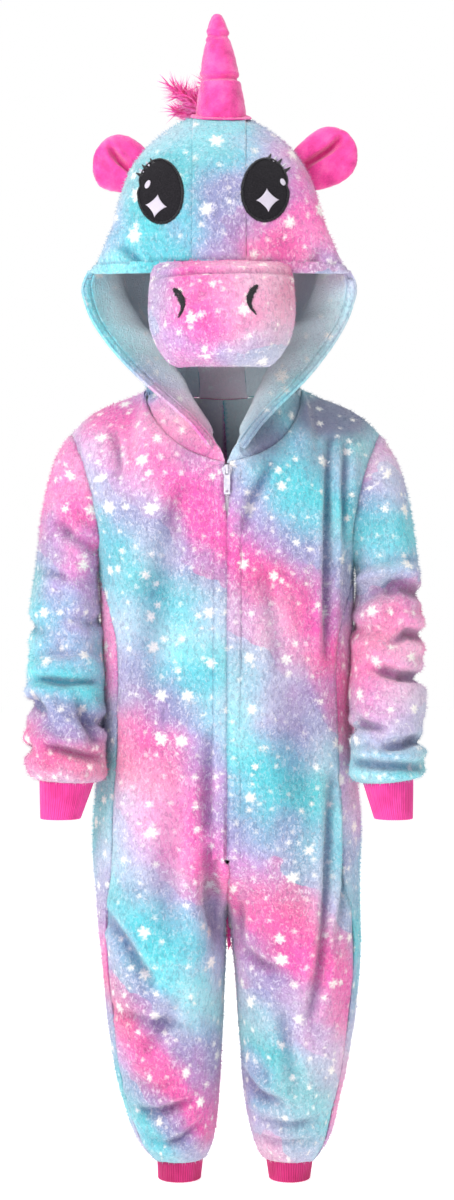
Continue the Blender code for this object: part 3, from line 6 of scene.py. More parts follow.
import bmesh
import bpy
import numpy as np
from bpy.props import FloatProperty, FloatVectorProperty, IntProperty, PointerProperty
from mathutils import Vector
from mathutils.bvhtree import BVHTree
from mathutils.kdtree import KDTree
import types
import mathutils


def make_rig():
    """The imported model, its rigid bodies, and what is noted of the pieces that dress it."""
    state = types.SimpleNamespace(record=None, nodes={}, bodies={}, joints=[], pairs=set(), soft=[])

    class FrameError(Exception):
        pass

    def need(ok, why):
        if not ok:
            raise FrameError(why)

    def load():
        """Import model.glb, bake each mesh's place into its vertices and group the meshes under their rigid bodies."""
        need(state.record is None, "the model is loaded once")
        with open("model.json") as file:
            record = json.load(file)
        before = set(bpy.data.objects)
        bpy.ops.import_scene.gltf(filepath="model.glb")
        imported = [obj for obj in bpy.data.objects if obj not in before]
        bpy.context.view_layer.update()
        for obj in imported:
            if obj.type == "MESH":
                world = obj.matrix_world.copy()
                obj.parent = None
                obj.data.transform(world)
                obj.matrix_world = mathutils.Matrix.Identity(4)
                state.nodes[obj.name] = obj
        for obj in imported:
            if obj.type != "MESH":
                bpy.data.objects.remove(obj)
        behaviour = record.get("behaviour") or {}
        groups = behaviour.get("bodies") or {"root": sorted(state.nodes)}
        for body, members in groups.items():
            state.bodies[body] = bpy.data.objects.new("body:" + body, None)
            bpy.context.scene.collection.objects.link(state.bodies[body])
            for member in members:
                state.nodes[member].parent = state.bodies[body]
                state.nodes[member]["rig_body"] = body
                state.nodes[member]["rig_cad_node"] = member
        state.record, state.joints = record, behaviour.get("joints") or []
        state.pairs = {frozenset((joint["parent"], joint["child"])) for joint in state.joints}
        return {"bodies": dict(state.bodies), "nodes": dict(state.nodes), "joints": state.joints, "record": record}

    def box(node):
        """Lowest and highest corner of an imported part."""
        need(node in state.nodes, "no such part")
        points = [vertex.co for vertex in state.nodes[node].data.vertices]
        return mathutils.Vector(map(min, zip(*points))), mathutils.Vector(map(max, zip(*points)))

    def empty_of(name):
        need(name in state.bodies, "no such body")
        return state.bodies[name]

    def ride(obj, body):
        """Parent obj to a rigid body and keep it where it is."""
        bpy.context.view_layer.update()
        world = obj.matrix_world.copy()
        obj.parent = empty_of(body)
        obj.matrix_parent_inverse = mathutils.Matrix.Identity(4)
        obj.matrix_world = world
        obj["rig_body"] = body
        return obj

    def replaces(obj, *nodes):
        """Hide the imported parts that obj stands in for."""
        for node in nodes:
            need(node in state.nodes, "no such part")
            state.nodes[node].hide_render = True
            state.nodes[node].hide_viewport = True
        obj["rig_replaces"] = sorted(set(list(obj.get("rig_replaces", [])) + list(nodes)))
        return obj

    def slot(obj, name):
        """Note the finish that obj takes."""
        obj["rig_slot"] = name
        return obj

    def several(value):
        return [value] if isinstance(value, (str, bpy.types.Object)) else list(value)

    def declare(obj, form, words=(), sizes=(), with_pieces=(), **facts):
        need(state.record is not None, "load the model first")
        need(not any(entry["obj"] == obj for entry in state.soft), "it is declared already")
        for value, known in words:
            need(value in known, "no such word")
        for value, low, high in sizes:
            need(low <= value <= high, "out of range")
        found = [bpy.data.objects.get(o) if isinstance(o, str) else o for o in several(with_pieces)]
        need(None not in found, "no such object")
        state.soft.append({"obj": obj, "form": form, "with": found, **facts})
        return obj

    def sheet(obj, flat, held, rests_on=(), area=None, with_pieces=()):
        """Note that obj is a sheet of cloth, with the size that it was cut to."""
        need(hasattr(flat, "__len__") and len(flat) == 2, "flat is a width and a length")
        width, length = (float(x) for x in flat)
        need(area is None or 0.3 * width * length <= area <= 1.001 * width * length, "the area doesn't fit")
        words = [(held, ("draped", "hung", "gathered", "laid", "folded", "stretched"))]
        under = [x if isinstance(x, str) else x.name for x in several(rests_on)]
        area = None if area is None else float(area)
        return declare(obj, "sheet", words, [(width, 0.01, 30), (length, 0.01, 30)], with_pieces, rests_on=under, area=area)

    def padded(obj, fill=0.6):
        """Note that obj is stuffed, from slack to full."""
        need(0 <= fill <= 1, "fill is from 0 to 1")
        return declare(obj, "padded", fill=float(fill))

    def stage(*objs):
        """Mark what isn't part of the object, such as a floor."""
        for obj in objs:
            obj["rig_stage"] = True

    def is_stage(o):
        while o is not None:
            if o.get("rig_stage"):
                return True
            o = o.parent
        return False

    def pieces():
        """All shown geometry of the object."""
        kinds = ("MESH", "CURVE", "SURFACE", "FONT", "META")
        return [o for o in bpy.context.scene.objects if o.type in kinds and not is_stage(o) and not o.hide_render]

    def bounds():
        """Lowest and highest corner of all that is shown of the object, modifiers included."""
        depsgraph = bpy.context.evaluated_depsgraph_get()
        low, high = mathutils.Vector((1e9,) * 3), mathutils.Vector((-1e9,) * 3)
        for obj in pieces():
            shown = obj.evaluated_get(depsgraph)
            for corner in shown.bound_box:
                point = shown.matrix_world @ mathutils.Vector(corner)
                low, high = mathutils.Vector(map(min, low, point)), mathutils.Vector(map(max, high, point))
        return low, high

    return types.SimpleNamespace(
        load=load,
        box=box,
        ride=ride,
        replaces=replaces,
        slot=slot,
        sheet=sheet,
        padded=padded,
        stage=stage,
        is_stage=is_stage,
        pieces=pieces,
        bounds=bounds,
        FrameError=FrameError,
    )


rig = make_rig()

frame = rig.load()
CAD_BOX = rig.bounds()

bl_info = {
    "name": "Unicorn Onesie",
    "version": (1, 0, 0),
    "blender": (4, 5, 0),
    "location": "3D View > Sidebar > Onesie",
    "description": "Dresses the packed unicorn onesie in fleece, plush, felt, rib knit and a zip",
    "category": "Object",
}

MM = 0.001
GARMENT = "garment"
SIZE_FILE = "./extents.json"
TAU = 2 * math.pi

# Points this near each other are one point.
MERGE = 1e-5
# Where faces meet more sharply than the first angle, one side of the cloth ends and its cut edge begins.
# Triangles that meet less sharply than the second are paired into quads.
RIM_ANGLE = math.radians(50)
PAIR_ANGLE = math.radians(40)
# The three parts of a cloth piece's surface.
OUTSIDE, INSIDE, RIM = 0, 1, 2

# Every fold is this much deeper than its table says. A painted shade is laid into each fold, fully where it
# is this deep, by this share of the painted seam shade.
FOLD_GAIN = 1.35
FOLD_DEEP = 0.0052
FOLD_PAINTED_SHADE = 0.92
# The cloth swells in and out by this much, in lumps of this size.
SWELL = 0.0011
SWELL_SIZE = 0.045
# How far from a seam the painted seam shade reaches, and how fully it is laid on.
PAINTED_SEAM_SHADE_REACH = 0.0035
PAINTED_SEAM_SHADE_SHARE = 0.6
# Pieces that are parted by less than the gap are drawn together at their seam and lap by this much, and
# the draw eases off over this far.
SEAM_GAP = 0.0075
SEAM_LAP = 0.0009
SEAM_EASE = 0.006
# The two sizes of the pile's clumps, and each one's share.
CLUMPS = ((0.6, 0.0042), (0.4, 0.0019))
# The depths between which the hood's inside turns from the print to its wrong side.
HOOD_MOUTH = (-0.120, -0.070)
# The heights of the hems at the ankles and the wrists, below which an edge isn't rolled in.
ANKLE_HEM = -0.885
WRIST_HEM = -0.43
# How far from the centre line the fronts stay beside the zip, so that its coil shows.
ZIP_HALF = 0.0031
# The zip's coil: its two ends, the rise of each turn, and a turn's width and length.
COIL_ENDS = (-0.533, -0.090)
COIL_PITCH = 0.00125
COIL_TURN = (0.0012, 0.0012, 0.0042)
# How far to either side its turns lie by turns, how far in front of the tape, and how they slope.
COIL_ASIDE = 0.0007
COIL_RISE = 0.0011
COIL_SLOPE = 0.25

# The middle of the head, which the hood stands around, and its half width.
HEAD = np.array([-0.009, -0.010, 0.200])
HEAD_HALF = 0.128
# The stars' scale on the hood, and how far they are moved on its right side, its left side and its crown.
HOOD_SCALE = 0.8
HOOD_SHIFTS = ((0.10, 0.05), (0.22, 0.12))
CROWN_SHIFT = (0.30, 0.11)
# The half width and half depth of the trunk and of a leg, and how far out a leg's middle stands. Between
# the two heights of the fork the cloth passes from the one to the other.
TRUNK_HALVES = (0.153, 0.104)
LEG_HALVES = (0.073, 0.086)
LEG_OUT = 0.078
FORK = (-0.54, -0.66)
# The half width of an arm and of a cuff, and how far out the shoulder's point is.
ARM_HALF = 0.050
CUFF_HALF = 0.027
SHOULDER = 0.200
# Places tried for the extra strands of the forelock.
TUFT_DRAWS = 26000

# The floor's radius, how far it lies below the ankle cuffs, and the light from all round.
FLOOR_HALF = 12.0
FLOOR_DROP = 0.0008
WORLD_LIGHT = 0.46

# Each piece's printed bands: how fast they slope across, and the band's phase at each depth in mm
# below the neck. A whole phase is pink and a half one is sky.
BANDS = {
    "front_right": (
        1.0, (-60, -0.5), (149, 0), (320, 0.5), (543, 1), (705, 1.5), (870, 2), (955, 2.5), (1050, 2.8)
    ),
    "front_left": (
        1.0, (-60, -0.6), (0, -0.5), (167, 0), (369, 0.5), (572, 1), (728, 1.5), (860, 1.9), (960, 2.3)
    ),
    "back_right": (-1.0, (-20, -0.2), (140, 0), (340, 0.5), (520, 1), (690, 1.5), (850, 2), (960, 2.5)),
    "back_left": (
        1.0, (-60, 0.5), (230, 1), (325, 1.25), (450, 1.5), (600, 1.75), (700, 2), (850, 2.5), (960, 2.8)
    ),
    "sleeve_right": (0.4, (20, -0.1), (90, 0), (200, 0.25), (306, 0.5), (370, 0.75), (426, 1), (480, 1.1)),
    "sleeve_left": (-0.3, (20, 0.2), (60, 0.15), (150, 0.5), (215, 0.75), (300, 1), (380, 1.25), (438, 1.5)),
}
BANDS["placket_right"] = BANDS["front_right"]
BANDS["placket_left"] = BANDS["front_left"]
# Over the hood the phase runs on across every seam: its value at the forehead, and its rise for each mm
# to the left and for each mm down. Below the brim each side has bands of its own, by mm below the neck.
HOOD_BANDS = (0.758, 0.0028, 0.0017)
FOREHEAD = 200
UNDER_BRIM = {
    "right": ((-145, 0.48), (-60, 0.5), (-20, 0.7), (30, 0.95), (60, 1.0)),
    "left": ((-145, 1.25), (-98, 1.5), (20, 1.5), (60, 1.35)),
}
# The muzzle is pink in the middle and lilac to its right and below: its middle in mm, and how far the
# pink reaches to either side and down.
MUZZLE_MIDDLE = (4, 102)
MUZZLE_PINK = (62, 46)

# Creases in mm: (facing, depth, half width, then the line's points). The letter tells whether the cloth
# faces front, back, right or left there. The points are (x, z) on the front and back, and (y, z) on the
# sides. A negative depth is a ridge.
CREASES = {
    "front_left": (
        ("F", 6.5, 5.5, (121, -48), (119, -140), (118, -230), (117, -300)),
        ("F", -3, 6, (129, -60), (127, -150), (126, -235)),
        ("F", 4.5, 5.5, (139, -52), (136, -110), (136, -160)),
        ("F", 5, 7, (51, -77), (40, -98), (29, -118), (20, -150)),
        ("F", 6, 7, (123, -440), (122, -500), (119, -567), (114, -622), (106, -682), (97, -720)),
        ("F", 5, 6, (142, -470), (136, -567), (125, -640)),
        ("F", -3, 6, (131, -480), (128, -567), (119, -636)),
        ("F", 4, 7, (18, -640), (34, -655), (60, -664)),
        ("F", -3, 8, (30, -770), (24, -786), (46, -806), (66, -808)),
        ("F", 5, 7, (16, -790), (36, -814), (62, -822)), ("F", 4, 5.5, (16, -593), (15, -612), (15, -634)),
        ("F", 2.5, 25, (60, -300), (75, -380), (80, -470)),
        ("F", 3.5, 6, (40, -845), (70, -852), (105, -846)),
        ("F", 2.2, 9, (40, -200), (52, -250), (60, -310)),
        ("F", 2.8, 10, (60, -700), (70, -760), (76, -800)),
        ("F", 2.5, 6, (30, -868), (62, -874), (100, -870)),
    ),
    "front_right": (
        ("F", 3.2, 5.5, (-134, -36), (-127, -62), (-125, -88)),
        ("F", 4.6, 9, (-20, -390), (-23, -440), (-23, -490), (-20, -540)),
        ("F", 7.5, 11, (-20, -530), (-17, -585), (-9, -630)),
        ("F", 5.5, 8, (-142, -603), (-123, -627), (-105, -655), (-88, -676)),
        ("F", 3.5, 7, (-132, -716), (-87, -726), (-44, -731)),
        ("F", -3, 7, (-118, -812), (-80, -818), (-50, -812)),
        ("F", 5, 6, (-108, -836), (-79, -836), (-44, -822)),
        ("F", 3.5, 6, (-64, -874), (-48, -862), (-30, -850)),
        ("F", 3, 22, (-60, -120), (-85, -220), (-95, -330)),
        ("F", 2.5, 20, (-60, -470), (-75, -540), (-70, -620)),
        ("F", 1.4, 8, (-44, -84), (-62, -120), (-70, -160)),
        ("F", 2.8, 10, (-60, -700), (-80, -740), (-98, -760)),
        ("F", 2.5, 6, (-100, -868), (-72, -874), (-40, -870)),
    ),
    "back_right": (
        ("B", 5, 7, (-126, -80), (-120, -160), (-122, -250)),
        ("B", 4, 11, (-30, -60), (-60, -130), (-84, -180)),
        ("B", 4, 12, (-40, -330), (-80, -352), (-120, -348)),
        ("B", 5, 9, (-14, -520), (-40, -560), (-84, -585)),
        ("B", 3.5, 8, (-20, -600), (-50, -628), (-100, -634)),
        ("B", 4, 8, (-60, -720), (-90, -744), (-124, -742)),
        ("B", 3.5, 7, (-50, -822), (-80, -828), (-106, -820)),
        ("B", 2.8, 20, (-90, -420), (-96, -500), (-80, -560)),
        ("B", 3, 6, (-44, -850), (-74, -856), (-108, -848)),
    ),
    "back_left": (
        ("B", 4.5, 6, (128, -70), (124, -140), (118, -220)),
        ("B", 3.5, 12, (26, -90), (50, -150), (88, -200)),
        ("B", 4, 11, (50, -310), (90, -336), (126, -338)), ("B", 5, 9, (12, -530), (44, -572), (92, -588)),
        ("B", 3.5, 7, (24, -608), (60, -640), (112, -640)),
        ("B", 3.5, 8, (60, -708), (88, -730), (120, -734)),
        ("B", 3.5, 7, (62, -838), (86, -842), (112, -834)),
        ("B", 2.8, 20, (80, -400), (94, -470), (88, -540)),
        ("B", 3, 6, (40, -866), (72, -872), (110, -864)),
    ),
    "sleeve_right": (
        ("F", 4.5, 7, (-147, -180), (-173, -164), (-198, -145)),
        ("F", 3, 5.5, (-220, -199), (-188, -206), (-169, -210)),
        ("F", 6, 12, (-160, -250), (-150, -280), (-142, -303)),
        ("F", -4, 7, (-226, -318), (-204, -308), (-171, -308), (-141, -314)),
        ("F", 7, 5.5, (-228, -325), (-188, -330), (-140, -330)),
        ("F", 5.5, 7, (-233, -338), (-222, -356), (-204, -368)),
        ("F", 6.5, 7, (-172, -350), (-161, -375), (-152, -394)),
        ("F", -3.5, 8, (-211, -356), (-188, -375), (-168, -394)),
        ("F", 6, 5.5, (-208, -402), (-172, -411), (-148, -416)),
        ("R", 7, 8, (-96, -352), (-50, -358), (0, -352)), ("R", 4, 8, (-70, -270), (-20, -262), (20, -250)),
        ("R", 5, 6, (-96, -404), (-60, -412), (-20, -406)),
        ("B", 5, 8, (-222, -216), (-190, -232), (-156, -226)),
        ("B", 6, 7, (-224, -308), (-196, -322), (-156, -318)),
        ("B", 5, 7, (-224, -362), (-190, -370), (-156, -364)),
        ("B", 5, 6, (-216, -410), (-190, -416), (-158, -408)),
        ("L", 4, 7, (-90, -250), (-50, -262), (-10, -256)),
        ("L", 5, 7, (-96, -372), (-60, -380), (-20, -372)),
        ("L", -5.6, 46, (-38, -130), (-44, -240), (-48, -350)),
    ),
    "sleeve_left": (
        ("F", -4.5, 6, (150, -226), (164, -211), (179, -202), (205, -197), (224, -201)),
        ("F", 8, 9, (157, -236), (180, -222), (205, -216), (226, -222)),
        ("F", 5, 6, (196, -282), (211, -272), (229, -277)),
        ("F", -3, 9, (160, -290), (180, -296), (206, -300)),
        ("F", 7, 6, (172, -314), (201, -322), (224, -323)),
        ("F", 6.5, 6, (142, -368), (160, -378), (180, -382)),
        ("F", 6.5, 5.5, (184, -403), (206, -400), (226, -393)),
        ("F", -3, 6, (148, -408), (183, -415), (218, -416)),
        ("F", 5.5, 5.5, (143, -421), (198, -424), (228, -427)),
        ("L", 6, 8, (-96, -270), (-50, -276), (0, -270)), ("L", 6, 7, (-96, -322), (-50, -327), (0, -320)),
        ("L", 4.5, 7, (-70, -222), (-20, -228), (20, -214)),
        ("L", 5, 6, (-100, -396), (-60, -402), (-20, -396)),
        ("B", 5, 8, (150, -212), (188, -230), (222, -222)),
        ("B", 6, 7, (150, -312), (190, -326), (224, -314)),
        ("B", 5, 7, (152, -368), (188, -374), (222, -366)),
        ("B", 5, 6, (158, -410), (188, -418), (216, -410)),
        ("R", 4, 7, (-90, -262), (-50, -272), (-10, -262)),
        ("R", 5, 6, (-96, -380), (-60, -388), (-20, -380)),
        ("R", -5.6, 46, (-38, -130), (-44, -240), (-48, -350)),
    ),
    "hood_side_right": (
        ("F", 3.5, 6, (-124, 172), (-104, 156), (-94, 128)),
        ("R", 3.5, 12, (-60, 250), (-10, 200), (40, 190)), ("R", 3.5, 10, (-90, 80), (-40, 60), (20, 70)),
        ("R", 3, 8, (-70, 20), (-30, 10), (10, 22)),
    ),
    "hood_side_left": (
        ("F", 3, 6, (112, 168), (98, 150), (90, 128)), ("L", 3.5, 12, (-70, 230), (-20, 190), (30, 196)),
        ("L", 3.5, 10, (-84, 90), (-40, 74), (16, 66)), ("L", 3, 8, (-60, 24), (-24, 12), (16, 20)),
    ),
    "hood_crown": (
        ("B", 3, 9, (-36, 60), (-8, 52), (22, 62)), ("B", 2.5, 9, (-36, 150), (-8, 142), (22, 156)),
    ),
    "muzzle": (
        ("F", 5, 3, (-86, 131), (-40, 134), (0, 134.5), (40, 136), (76, 136)),
        ("F", 2, 5, (-44, 98), (-28, 108), (-10, 114)), ("F", 1.6, 8, (-60, 62), (-20, 54), (30, 58)),
        ("F", 1.6, 9, (20, 76), (40, 84), (60, 104)),
    ),
    "horn": (
        ("F", 2.2, 2.8, (-31, 382), (-18, 380), (-7, 380), (4, 380), (17, 382)),
        ("F", 2, 2.6, (-25, 433), (-11, 431), (3, 433)), ("L", 2.2, 2.8, (-60, 382), (-30, 381), (4, 383)),
        ("R", 2.2, 2.8, (-60, 382), (-30, 383), (4, 381)),
        ("B", 2.2, 2.8, (-31, 382), (-7, 384), (17, 382)), ("L", 2, 2.6, (-56, 433), (-30, 432), (0, 434)),
        ("R", 2, 2.6, (-56, 433), (-30, 434), (0, 432)), ("B", 2, 2.6, (-25, 433), (-11, 435), (3, 433)),
    ),
    "ear_right": (
        ("F", 8, 3.6, (-139, 304), (-127, 288), (-112, 274)),
        ("F", -2, 6, (-132, 284), (-120, 272), (-112, 262)),
    ),
    "ear_left": (
        ("F", 8.5, 3.8, (90, 283), (108, 293), (122, 302), (137, 316)),
        ("F", -2, 6, (104, 282), (122, 290), (138, 302)),
    ),
}
FACINGS = {"F": (0, -1), "B": (0, 1), "R": (-1, 0), "L": (1, 0)}

# Each cloth piece's cut: width, length and area in metres and square metres, and how it is held.
CUTS = {
    "front_right": (0.24, 0.98, 0.154, "hung"),
    "front_left": (0.24, 0.98, 0.154, "hung"),
    "back_right": (0.33, 0.97, 0.240, "hung"),
    "back_left": (0.33, 0.97, 0.240, "hung"),
    "sleeve_right": (0.33, 0.42, 0.108, "gathered"),
    "sleeve_left": (0.33, 0.42, 0.106, "gathered"),
    "hood_side_right": (0.36, 0.43, 0.108, "draped"),
    "hood_side_left": (0.36, 0.43, 0.108, "draped"),
    "hood_crown": (0.068, 0.66, 0.043, "draped"),
    "placket_right": (0.017, 0.458, None, "hung"),
    "placket_left": (0.017, 0.458, None, "hung"),
    "hood_band_right": (0.026, 0.29, None, "folded"),
    "hood_band_left": (0.026, 0.29, None, "folded"),
    "wrist_cuff_right": (0.17, 0.048, None, "stretched"),
    "wrist_cuff_left": (0.17, 0.048, None, "stretched"),
    "ankle_cuff_right": (0.18, 0.029, None, "stretched"),
    "ankle_cuff_left": (0.18, 0.029, None, "stretched"),
    "zip_tape_right": (0.0102, 0.458, None, "hung"),
    "zip_tape_left": (0.0102, 0.458, None, "hung"),
}


def srgb(red, green, blue):
    """A colour of 0 to 255 steps as Blender's own light values."""
    shares = (red / 255, green / 255, blue / 255)
    return tuple(s / 12.92 if s < 0.04045 else ((s + 0.055) / 1.055) ** 2.4 for s in shares)


def colour(name, description, steps):
    return FloatVectorProperty(
        name=name, description=description, default=srgb(*steps), subtype="COLOR", size=3, min=0, max=1
    )


def distance(name, description, default):
    return FloatProperty(
        name=name, description=description, default=default, min=0, subtype="DISTANCE", unit="LENGTH"
    )


class OnesiePrint(bpy.types.PropertyGroup):
    """The fleece's printed colours and stars"""

    pink: colour("Pink", "Pink bands of the print", (247, 98, 182))
    lilac: colour("Lilac", "Bands between the pink and the sky ones", (178, 148, 212))
    sky: colour("Sky", "Turquoise bands of the print", (90, 214, 222))
    star: colour("Stars", "The print's stars", (255, 250, 244))
    star_half: distance("Star radius", "From the middle of the largest stars to their points", 0.0082)
    star_room: distance("Star spacing", "Cloth that each large star has to itself", 0.053)


class OnesieCloth(bpy.types.PropertyGroup):
    """Sizes of the pile, fur, ribs and stitches"""

    nap: distance("Nap", "Height of the fleece's clumped pile", 0.0006)
    pile: distance("Pile length", "Length of the loose fibres that stand out of the fleece", 0.0034)
    pile_count: IntProperty(
        name="Pile density", description="Loose fibres on a square metre", default=70000, min=0
    )
    seam_dip: distance("Seam depth", "How far the cloth rolls in at a seam", 0.0018)
    seam_reach: distance("Seam roll", "How far from a seam the cloth starts to roll in", 0.008)
    rib: distance("Rib spacing", "From one rib of a cuff to the next", 0.0026)
    rib_rise: distance("Rib height", "How far a rib stands up", 0.0003)
    fur: distance("Fur length", "Length of the mane's and the tail's strands", 0.014)
    stitch: distance("Stitch spacing", "From one satin stitch to the next", 0.0013)
    plush: colour("Plush", "Horn, ears, mane and tail", (250, 78, 168))
    rib_pink: colour("Rib pink", "The four cuffs", (252, 80, 174))
    felt: colour("Felt", "The eyes", (22, 20, 24))
    thread: colour("Thread", "Sparkles in the eyes", (214, 206, 222))


class OnesieStudio(bpy.types.PropertyGroup):
    """The floor, the lamps and the camera"""

    floor: colour("Floor", "The floor", (250, 250, 250))
    camera_back: distance("Camera distance", "From the garment's middle to the camera", 2.8)
    camera_height: FloatProperty(
        name="Camera height", description="Camera height above the neck", default=-0.234, unit="LENGTH"
    )
    lens: FloatProperty(name="Lens", description="Focal length", default=70, min=10, unit="CAMERA")
    key: FloatProperty(name="Key lamp", description="Power of the main lamp in watts", default=70, min=0)
    fill: FloatProperty(name="Fill lamp", description="Power of the second lamp in watts", default=9, min=0)


# ---------------------------------------------------------------- shapes in numbers


def smooth_step(values, start, end):
    share = np.clip((values - start) / (end - start), 0, 1)
    return share * share * (3 - 2 * share)


def lattice(cells, seed):
    """A repeatable value from -1 to 1 for every whole-numbered cell."""
    x, y, z = (cells[:, i].astype(np.int64) for i in range(3))
    mixed = (x * 374761393 + y * 668265263 + z * 1440662683 + seed * 974634777) & 0xFFFFFFFF
    mixed = ((mixed ^ (mixed >> 13)) * 1274126177) & 0xFFFFFFFF
    return ((mixed ^ (mixed >> 16)) & 0xFFFF) / 32767.5 - 1


def mottle(points, size, seed):
    """Smooth noise from -1 to 1 over the points, in lumps about size across."""
    scaled = points / size
    base = np.floor(scaled)
    share = scaled - base
    share = share * share * (3 - 2 * share)
    total = np.zeros(len(points))
    for corner in range(8):
        step = np.array([(corner >> i) & 1 for i in range(3)])
        weight = np.prod(np.where(step, share, 1 - share), axis=1)
        total += weight * lattice(base + step, seed)
    return total


def clumps(points, seed):
    """The pile's clumps from -1 to 1 over the points."""
    return sum(share * mottle(points, size, seed + i) for i, (share, size) in enumerate(CLUMPS))


def lengths_along(line):
    """How far along a bent line each of its points is."""
    return np.concatenate([[0], np.cumsum(np.linalg.norm(np.diff(line, axis=0), axis=1))])


def to_line(places, line):
    """Each place's distance from a bent line, and how far along the line it is, from 0 to 1."""
    line = np.array(line, float)
    starts = lengths_along(line)
    nearest = np.full(len(places), np.inf)
    along = np.zeros(len(places))
    for a, b, start in zip(line, line[1:], starts):
        span = np.linalg.norm(b - a)
        share = np.clip((places - a) @ (b - a) / span**2, 0, 1)
        away = np.linalg.norm(places - a - share[:, None] * (b - a), axis=1)
        closer = away < nearest
        nearest = np.where(closer, away, nearest)
        along = np.where(closer, (start + share * span) / starts[-1], along)
    return nearest, along


def crease_depth(points, normals, creases):
    """How far, in metres, the creases press each point of the cloth in."""
    total = np.zeros(len(points))
    for facing, depth, half, *line in creases:
        way = np.array(FACINGS[facing])
        across = points[:, 0] if way[0] == 0 else points[:, 1]
        places = np.column_stack([across, points[:, 2]]) / MM
        away, along = to_line(places, line)
        reach = away / half
        trough = np.exp(-(reach**2)) - 0.42 * np.exp(-((reach - 2.0) ** 2) / 0.9)
        faces_it = smooth_step(normals[:, :2] @ way, 0.05, 0.55)
        total += depth * MM * trough * np.sin(math.pi * (0.06 + 0.88 * along)) ** 0.6 * faces_it
    return total


def centre_line(points, low, high, step):
    """The middle of a tube at each height from low to high."""
    heights = np.arange(low, high + step / 2, step)
    middles = []
    for height in heights:
        near = points[np.abs(points[:, 2] - height) < step]
        middles.append((near[:, :2].max(0) + near[:, :2].min(0)) / 2)
    return heights, np.array(middles)


def around(points, line):
    """Each point's place across and along from a tube's centre line."""
    heights, middles = line
    middle = np.column_stack([np.interp(points[:, 2], heights, middles[:, i]) for i in range(2)])
    return points[:, :2] - middle


# ---------------------------------------------------------------- meshes


def link(name, data):
    obj = bpy.data.objects.new(name, data)
    bpy.context.scene.collection.objects.link(obj)
    return obj


def drop(obj):
    """Removes a helper and its mesh."""
    mesh = obj.data
    bpy.data.objects.remove(obj)
    bpy.data.meshes.remove(mesh)


def mesh_from(name, points, faces):
    mesh = bpy.data.meshes.new(name)
    mesh.from_pydata([tuple(p) for p in points], [], [tuple(int(i) for i in f) for f in faces])
    mesh.validate()
    mesh.shade_smooth()
    return mesh


def mesh_of(shape, name):
    """The working shape as a mesh. The shape is used up."""
    mesh = bpy.data.meshes.new(name)
    shape.to_mesh(mesh)
    shape.free()
    return mesh


def read(items, name, kind, each=1):
    """One value, or a row of them, from each of a mesh's items."""
    values = np.empty(len(items) * each, kind)
    items.foreach_get(name, values)
    return values.reshape(-1, each)


def points_of(mesh):
    return read(mesh.vertices, "co", np.float32, 3).astype(float)


def set_points(mesh, points):
    mesh.vertices.foreach_set("co", points.astype(np.float32).ravel())
    mesh.update()


def applied(obj, name):
    """The object's evaluated mesh as a plain one."""
    depsgraph = bpy.context.evaluated_depsgraph_get()
    mesh = bpy.data.meshes.new_from_object(
        obj.evaluated_get(depsgraph), preserve_all_data_layers=True, depsgraph=depsgraph
    )
    mesh.name = name
    return mesh


def merged(node):
    """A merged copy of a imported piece."""
    shape = bmesh.new()
    shape.from_mesh(frame["nodes"][node].data)
    bmesh.ops.remove_doubles(shape, verts=shape.verts, dist=MERGE)
    shape.normal_update()
    shape.faces.index_update()
    return shape


def sheets_of(shape):
    """The faces in groups that no sharp edge divides, the largest first."""
    groups, seen = [], set()
    for first in shape.faces:
        if first.index in seen:
            continue
        seen.add(first.index)
        group, ahead = [], [first]
        while ahead:
            face = ahead.pop()
            group.append(face)
            for edge in face.edges:
                if edge.calc_face_angle(math.pi) > RIM_ANGLE:
                    continue
                for other in edge.link_faces:
                    if other.index not in seen:
                        seen.add(other.index)
                        ahead.append(other)
        groups.append(group)
    return sorted(groups, key=lambda group: -sum(face.calc_area() for face in group))


def outward(node, places):
    """Roughly which way is out of the garment at each place of a piece."""
    away = np.array(places, float)
    if node.startswith(("front", "placket", "zip")):
        return np.tile([0.0, -1.0, 0.0], (len(away), 1))
    if node.startswith("back"):
        return np.tile([0.0, 1.0, 0.0], (len(away), 1))
    if node.startswith("hood"):
        middle = np.tile(HEAD, (len(away), 1))
        middle[:, 2] = np.minimum(away[:, 2], HEAD[2])
        return away - middle
    lowest, highest = (np.array(corner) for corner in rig.box(node))
    line = centre_line(points_of(frame["nodes"][node].data), lowest[2], highest[2], 0.03)
    away[:, :2] = around(away, line)
    away[:, 2] = 0
    return away


def mark_sides(shape, node):
    """Gives the cloth's outer face, inner face and cut edge their own material numbers."""
    groups = sheets_of(shape)
    scores = []
    for group in groups[:2]:
        ways = outward(node, [face.calc_center_median() for face in group])
        normals = np.array([face.normal for face in group])
        areas = np.array([face.calc_area() for face in group])
        scores.append(float(((ways * normals).sum(1) * areas).sum() / areas.sum()))
    outer = 0 if scores[0] > scores[1] else 1
    for face in shape.faces:
        face.material_index = RIM
    for number, group in enumerate(groups[:2]):
        for face in group:
            face.material_index = OUTSIDE if number == outer else INSIDE


def subdivided(obj, level):
    smoother = obj.modifiers.new("Smooth", "SUBSURF")
    smoother.levels = smoother.render_levels = level


def fit_limit(obj):
    """Moves the coarse points so that the smoothed surface passes where they stood."""
    mesh = obj.data
    wanted = points_of(mesh)
    subdivided(obj, 1)
    for _ in range(2):
        reached = applied(obj, "reached")
        set_points(mesh, points_of(mesh) + 0.85 * (wanted - points_of(reached)[: len(wanted)]))
        bpy.data.meshes.remove(reached)
    obj.modifiers.clear()


